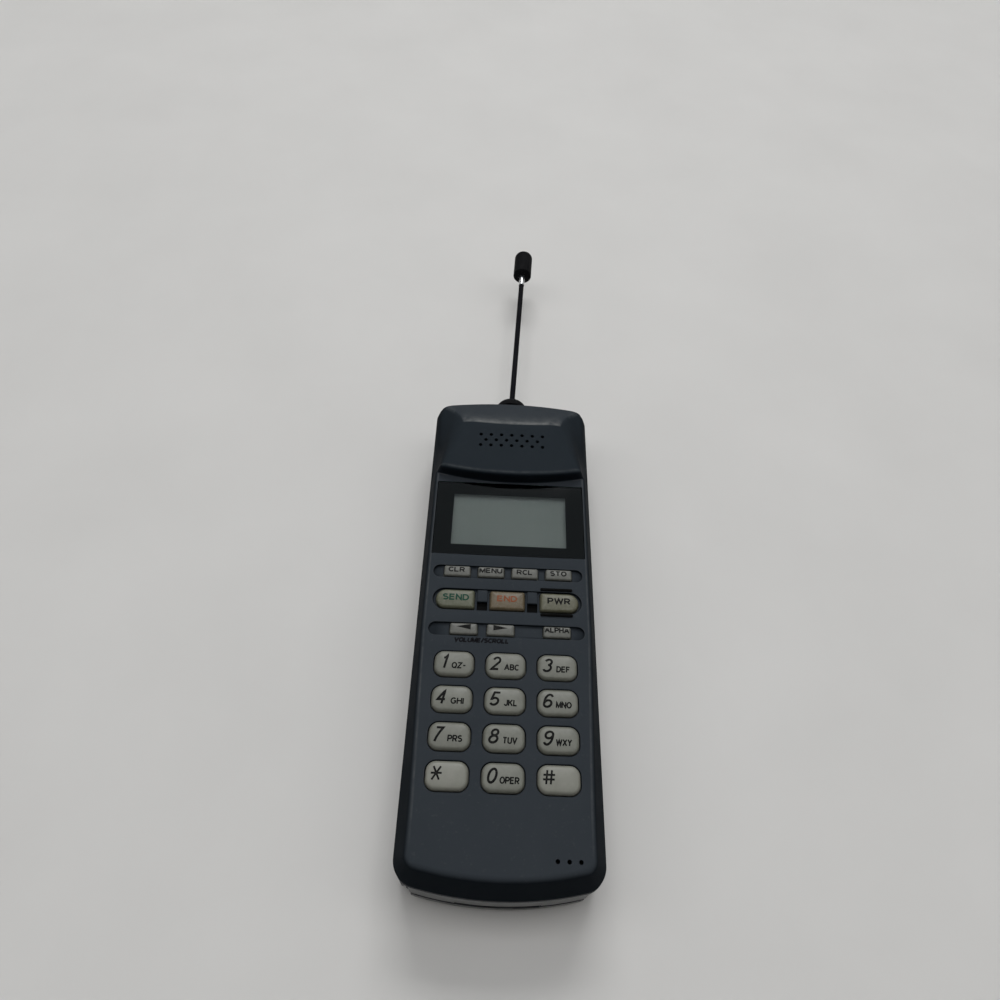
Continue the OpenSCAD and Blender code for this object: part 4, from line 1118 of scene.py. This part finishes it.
def call_wells():
    """Wells in front of the pads between the large keys."""
    y = CALL_Y - CALL_D / 2 + WELL_D / 2 + WELL_IN
    wells = [box_at(side * FILLER_X, y, FILLER_W, WELL_D, WELL_R) for side in (-1, 1)]
    return [(loop_at, FLOOR_LIP_R, WELL_Z) for loop_at in wells]


def call_pads():
    """Pads between the large keys."""
    bm = bmesh.new()
    top_y = CALL_Y + CALL_D / 2
    for side in (-1, 1):
        low_x = side * FILLER_X - FILLER_W / 2
        low = (low_x, top_y - FILLER_D, FACE_Z - CHANNEL_DROP - ROOT)
        add_soft_box(bm, low, (low_x + FILLER_W, top_y, FACE_Z - FILLER_DROP), PAD_R)
    new_piece("call_pads", bm, FINISHES["shell"], "handset")


def shade_black_guard_ribs():
    """Guard ribs above and below the power key, matt black as painted shade."""
    bm = bmesh.new()
    for side in (-1, 1):
        y = CALL_Y + side * RIB_SPREAD
        low = (RIB_X - RIB_L / 2, y - RIB_T / 2, FACE_Z - ROOT)
        add_soft_box(bm, low, (RIB_X + RIB_L / 2, y + RIB_T / 2, FACE_Z + RIB_H), RIB_R)
    new_piece("shade_black_guard_ribs", bm, FINISHES["felt"], "handset")


def mic_felt_and_well_shade():
    """Black felt over the microphone, and black sheets as painted shade on the floors of the wells."""
    bm = bmesh.new()
    low, high = node_box("microphone")
    x, y, _ = (low + high) / 2
    middle = (x, y, high[2] + FELT_T / 2 + FELT_GAP)
    r = (high[0] - low[0]) / 2
    bmesh.ops.create_cone(bm, cap_ends=True, segments=32, radius1=r, radius2=r, depth=FELT_T,
                          matrix=Matrix.Translation(middle))
    # Painted shade: black sheets on the floors of the wells.
    for loop_at, _, floor_z in call_wells():
        bm.faces.new(add_ring(bm, loop_at(0), floor_z))
    new_piece("mic_felt_and_well_shade", bm, FINISHES["felt"], "handset")


def front_shell():
    """The front shell as seen from outside, with its openings and channels."""
    bm = bmesh.new()
    channels = [(box_at(0, UPPER_ROW_Y, CHANNEL_W, CHANNEL_D, CHANNEL_R), UPPER_ROW)]
    channels.append((box_at(0, CALL_Y, CALL_W, CALL_D, CALL_END_R), CALL_ROW))
    channels.append((box_at(0, LOWER_ROW_Y, CHANNEL_W, CHANNEL_D, CHANNEL_R), LOWER_ROW))
    window = box_at(0, WINDOW_Y, WINDOW_W, WINDOW_D, WINDOW_R)
    openings = [(loop_at, CHANNEL_LIP_R, FACE_Z - CHANNEL_DROP) for loop_at, _ in channels]
    openings.append((window, WINDOW_LIP_R, CEILING_Z))
    openings.extend(key_opening(name, LIP_R) for name in DIALS)
    openings.extend(hole_openings())
    insets = (0.3, 0.7, 1.1, 1.5, 1.9, 2.3, 2.55, 2.8, 3.05, 3.3, 3.55, 3.8, 4.05, 4.35)
    lines = [(outline(inset), True) for inset in insets] + ear_lines() + ridge_lines() + low_lines()
    rim = add_patch(bm, outline(0), openings, lines, ear_points(), shell_height)
    add_strip(bm, add_ring(bm, outline(SEAM_REACH), SEAM_Z), rim)
    ledge = add_ring(bm, window(0), CEILING_Z)
    add_strip(bm, ledge, add_ring(bm, window(-LEDGE_REACH), CEILING_Z))
    for loop_at, names in channels:
        add_channel(bm, loop_at, names, call_wells() if names is CALL_ROW else ())
    bmesh.ops.remove_doubles(bm, verts=bm.verts, dist=MERGE_MM)
    bmesh.ops.recalc_face_normals(bm, faces=bm.faces)
    piece = new_piece("front_shell_skin", bm, FINISHES["shell"], "handset", SKIN_SHARP)
    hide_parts("front_shell")
    x, y, _ = np.array([v.co for v in piece.data.vertices]).T / MM
    upright = np.array([v.normal.z for v in piece.data.vertices])
    # Shares for the material: scuffs with painted highlight, painted shade on the earpiece's pad,
    # painted shade on steeply sloping walls.
    set_share(piece, "wear_and_highlight", shell_wear_and_highlight(x, y, upright))
    set_share(piece, "ear_pad_shade", shell_ear_pad_shade(x, y))
    set_share(piece, "steep", shell_steep(upright))


# Carried-over CAD nodes
def soften(node, width_mm):
    """Smooth shading and a small bevel on a CAD node."""
    node.data.shade_smooth()
    weld = node.modifiers.new("weld", "WELD")
    weld.merge_threshold = MERGE_MM * MM
    bevel = node.modifiers.new("bevel", "BEVEL")
    bevel.width = width_mm * MM
    bevel.segments = 2
    bevel.limit_method = "ANGLE"
    bevel.angle_limit = radians(35)
    node.modifiers.new("normals", "WEIGHTED_NORMAL")


def dress_cad_nodes():
    """The finish of every CAD node, and softer edges on the outer ones."""
    shown = {"rear_shell": 0.25, "battery_case": 0.25, "battery_lid": 0.2, "battery_latch": 0.3,
             "antenna_bushing": 0.15, "antenna_tip": 0.1, "antenna_ferrule": 0.08, "antenna_whip": 0.05}
    for name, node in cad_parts.items():
        slot = node.material_slots[0].material.name
        node.material_slots[0].material = FINISHES["rear" if slot == "shell" else slot]
        if name in shown:
            soften(node, shown[name])


def latch_leaf():
    """The leaf spring behind the battery's catch, a fixed bent strip riding on the battery."""
    low, high = node_box("latch_spring")
    middle = (low[1] + high[1]) / 2
    profile = ((low[1], high[2]), (middle, low[2]), (high[1], high[2]), (high[1] - 2 * LEAF_T, high[2]),
               (middle, low[2] + LEAF_T), (low[1] + 2 * LEAF_T, high[2]))
    bm = bmesh.new()
    ends = [[bm.verts.new((x, y, z)) for y, z in profile] for x in (low[0], high[0])]
    add_strip(bm, ends[0], ends[1])
    for end in ends:
        bm.faces.new(end)
    bmesh.ops.recalc_face_normals(bm, faces=bm.faces)
    piece = new_piece("latch_leaf", bm, FINISHES["screw_steel"], "battery")
    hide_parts("latch_spring")
    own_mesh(piece)


# Studio
FLOOR_R = 2300.0
COVE_R = 900.0
WALL_TOP = 3000.0
LAMPS = {
    "main": ((0.1, 2.3, 2.4), (2.0, 0.8), 43.0, (1.0, 1.0, 1.0)),
    "overhead": ((0.0, 0.1, 1.5), (4.5, 0.8), 17.2, (1.0, 1.0, 1.0)),
    "ceiling": ((0.0, 1.5, 2.2), (4.0, 1.8), 5.4, (0.8, 0.93, 1.0)),
}
CAMERA_PLACE = (-0.00736, -0.11032, 0.24027)
CAMERA_FORWARD = (0.01515, 0.569, -0.8222)
CAMERA_ROLL = 3.8
CAMERA_LENS = 0.735


def floor():
    """Pale mottled floor, which curves up into a wall far away."""
    material, tree, shader = new_material("floor_finish", 0.3)
    set_colour(tree, shader, clouds(tree, 60, detail=4.0), (0.67, 0.66, 0.645), (0.7, 0.69, 0.675))
    set_inputs(shader, {"Roughness": 0.6})
    bm = bmesh.new()
    around = arc(0, 0, 1, 0, 2 * pi, 96)
    profile = [(FLOOR_R / 2, 0.0), (FLOOR_R, 0.0)]
    for turn in np.linspace(0, pi / 2, 13)[1:]:
        profile.append((FLOOR_R + COVE_R * sin(turn), COVE_R - COVE_R * cos(turn)))
    profile.append((FLOOR_R + COVE_R, WALL_TOP))
    rings = [add_ring(bm, r * around, z) for r, z in profile]
    bm.faces.new(rings[0])
    for first, second in zip(rings[:-1], rings[1:]):
        add_strip(bm, second, first)
    bmesh.ops.recalc_face_normals(bm, faces=bm.faces)
    mesh = finished_mesh("floor", bm)
    mesh.materials.append(material)
    piece = add_object("floor", mesh)


def area_light(name, place, size, power, colour):
    """A soft light at a place, turned to the phone."""
    light = bpy.data.lights.new(name, "AREA")
    light.shape = "RECTANGLE"
    light.size = size[0]
    light.size_y = size[1]
    light.energy = power
    light.color = colour
    holder = add_object(name, light)
    holder.location = place
    holder.rotation_euler = (-Vector(place)).to_track_quat("-Z", "Y").to_euler()


def studio_light():
    """A soft box behind, two weak ones that fill its shadows and a dark surround."""
    for name, look in LAMPS.items():
        area_light(name, *look)
    world = bpy.data.worlds.new("surround")
    world.use_nodes = True
    background = world.node_tree.nodes["Background"]
    set_inputs(background, {"Color": (0.96, 0.98, 1.0, 1), "Strength": 0.03})
    bpy.context.scene.world = world
    bpy.context.scene.view_settings.view_transform = "Standard"


def photo_camera():
    """The camera at the photograph's place and angle."""
    data = bpy.data.cameras.new("photo_camera")
    data.lens = CAMERA_LENS * data.sensor_width
    data.clip_start = 0.01
    forward = Vector(CAMERA_FORWARD).normalized()
    level = forward.cross(Vector((0, 0, 1))).normalized()
    above = level.cross(forward)
    roll = radians(CAMERA_ROLL)
    right = cos(roll) * level + sin(roll) * above
    up = cos(roll) * above - sin(roll) * level
    turned = Matrix((right, up, -forward)).transposed().to_4x4()
    camera = add_object("photo_camera", data)
    camera.matrix_world = Matrix.Translation(CAMERA_PLACE) @ turned
    bpy.context.scene.camera = camera


photo_camera()
studio_light()
floor()
dress_cad_nodes()
front_shell()
for each_key in KEYS.values():
    key_cap(each_key)
all_prints()
volume_caption()
call_pads()
shade_black_guard_ribs()
mic_felt_and_well_shade()
latch_leaf()
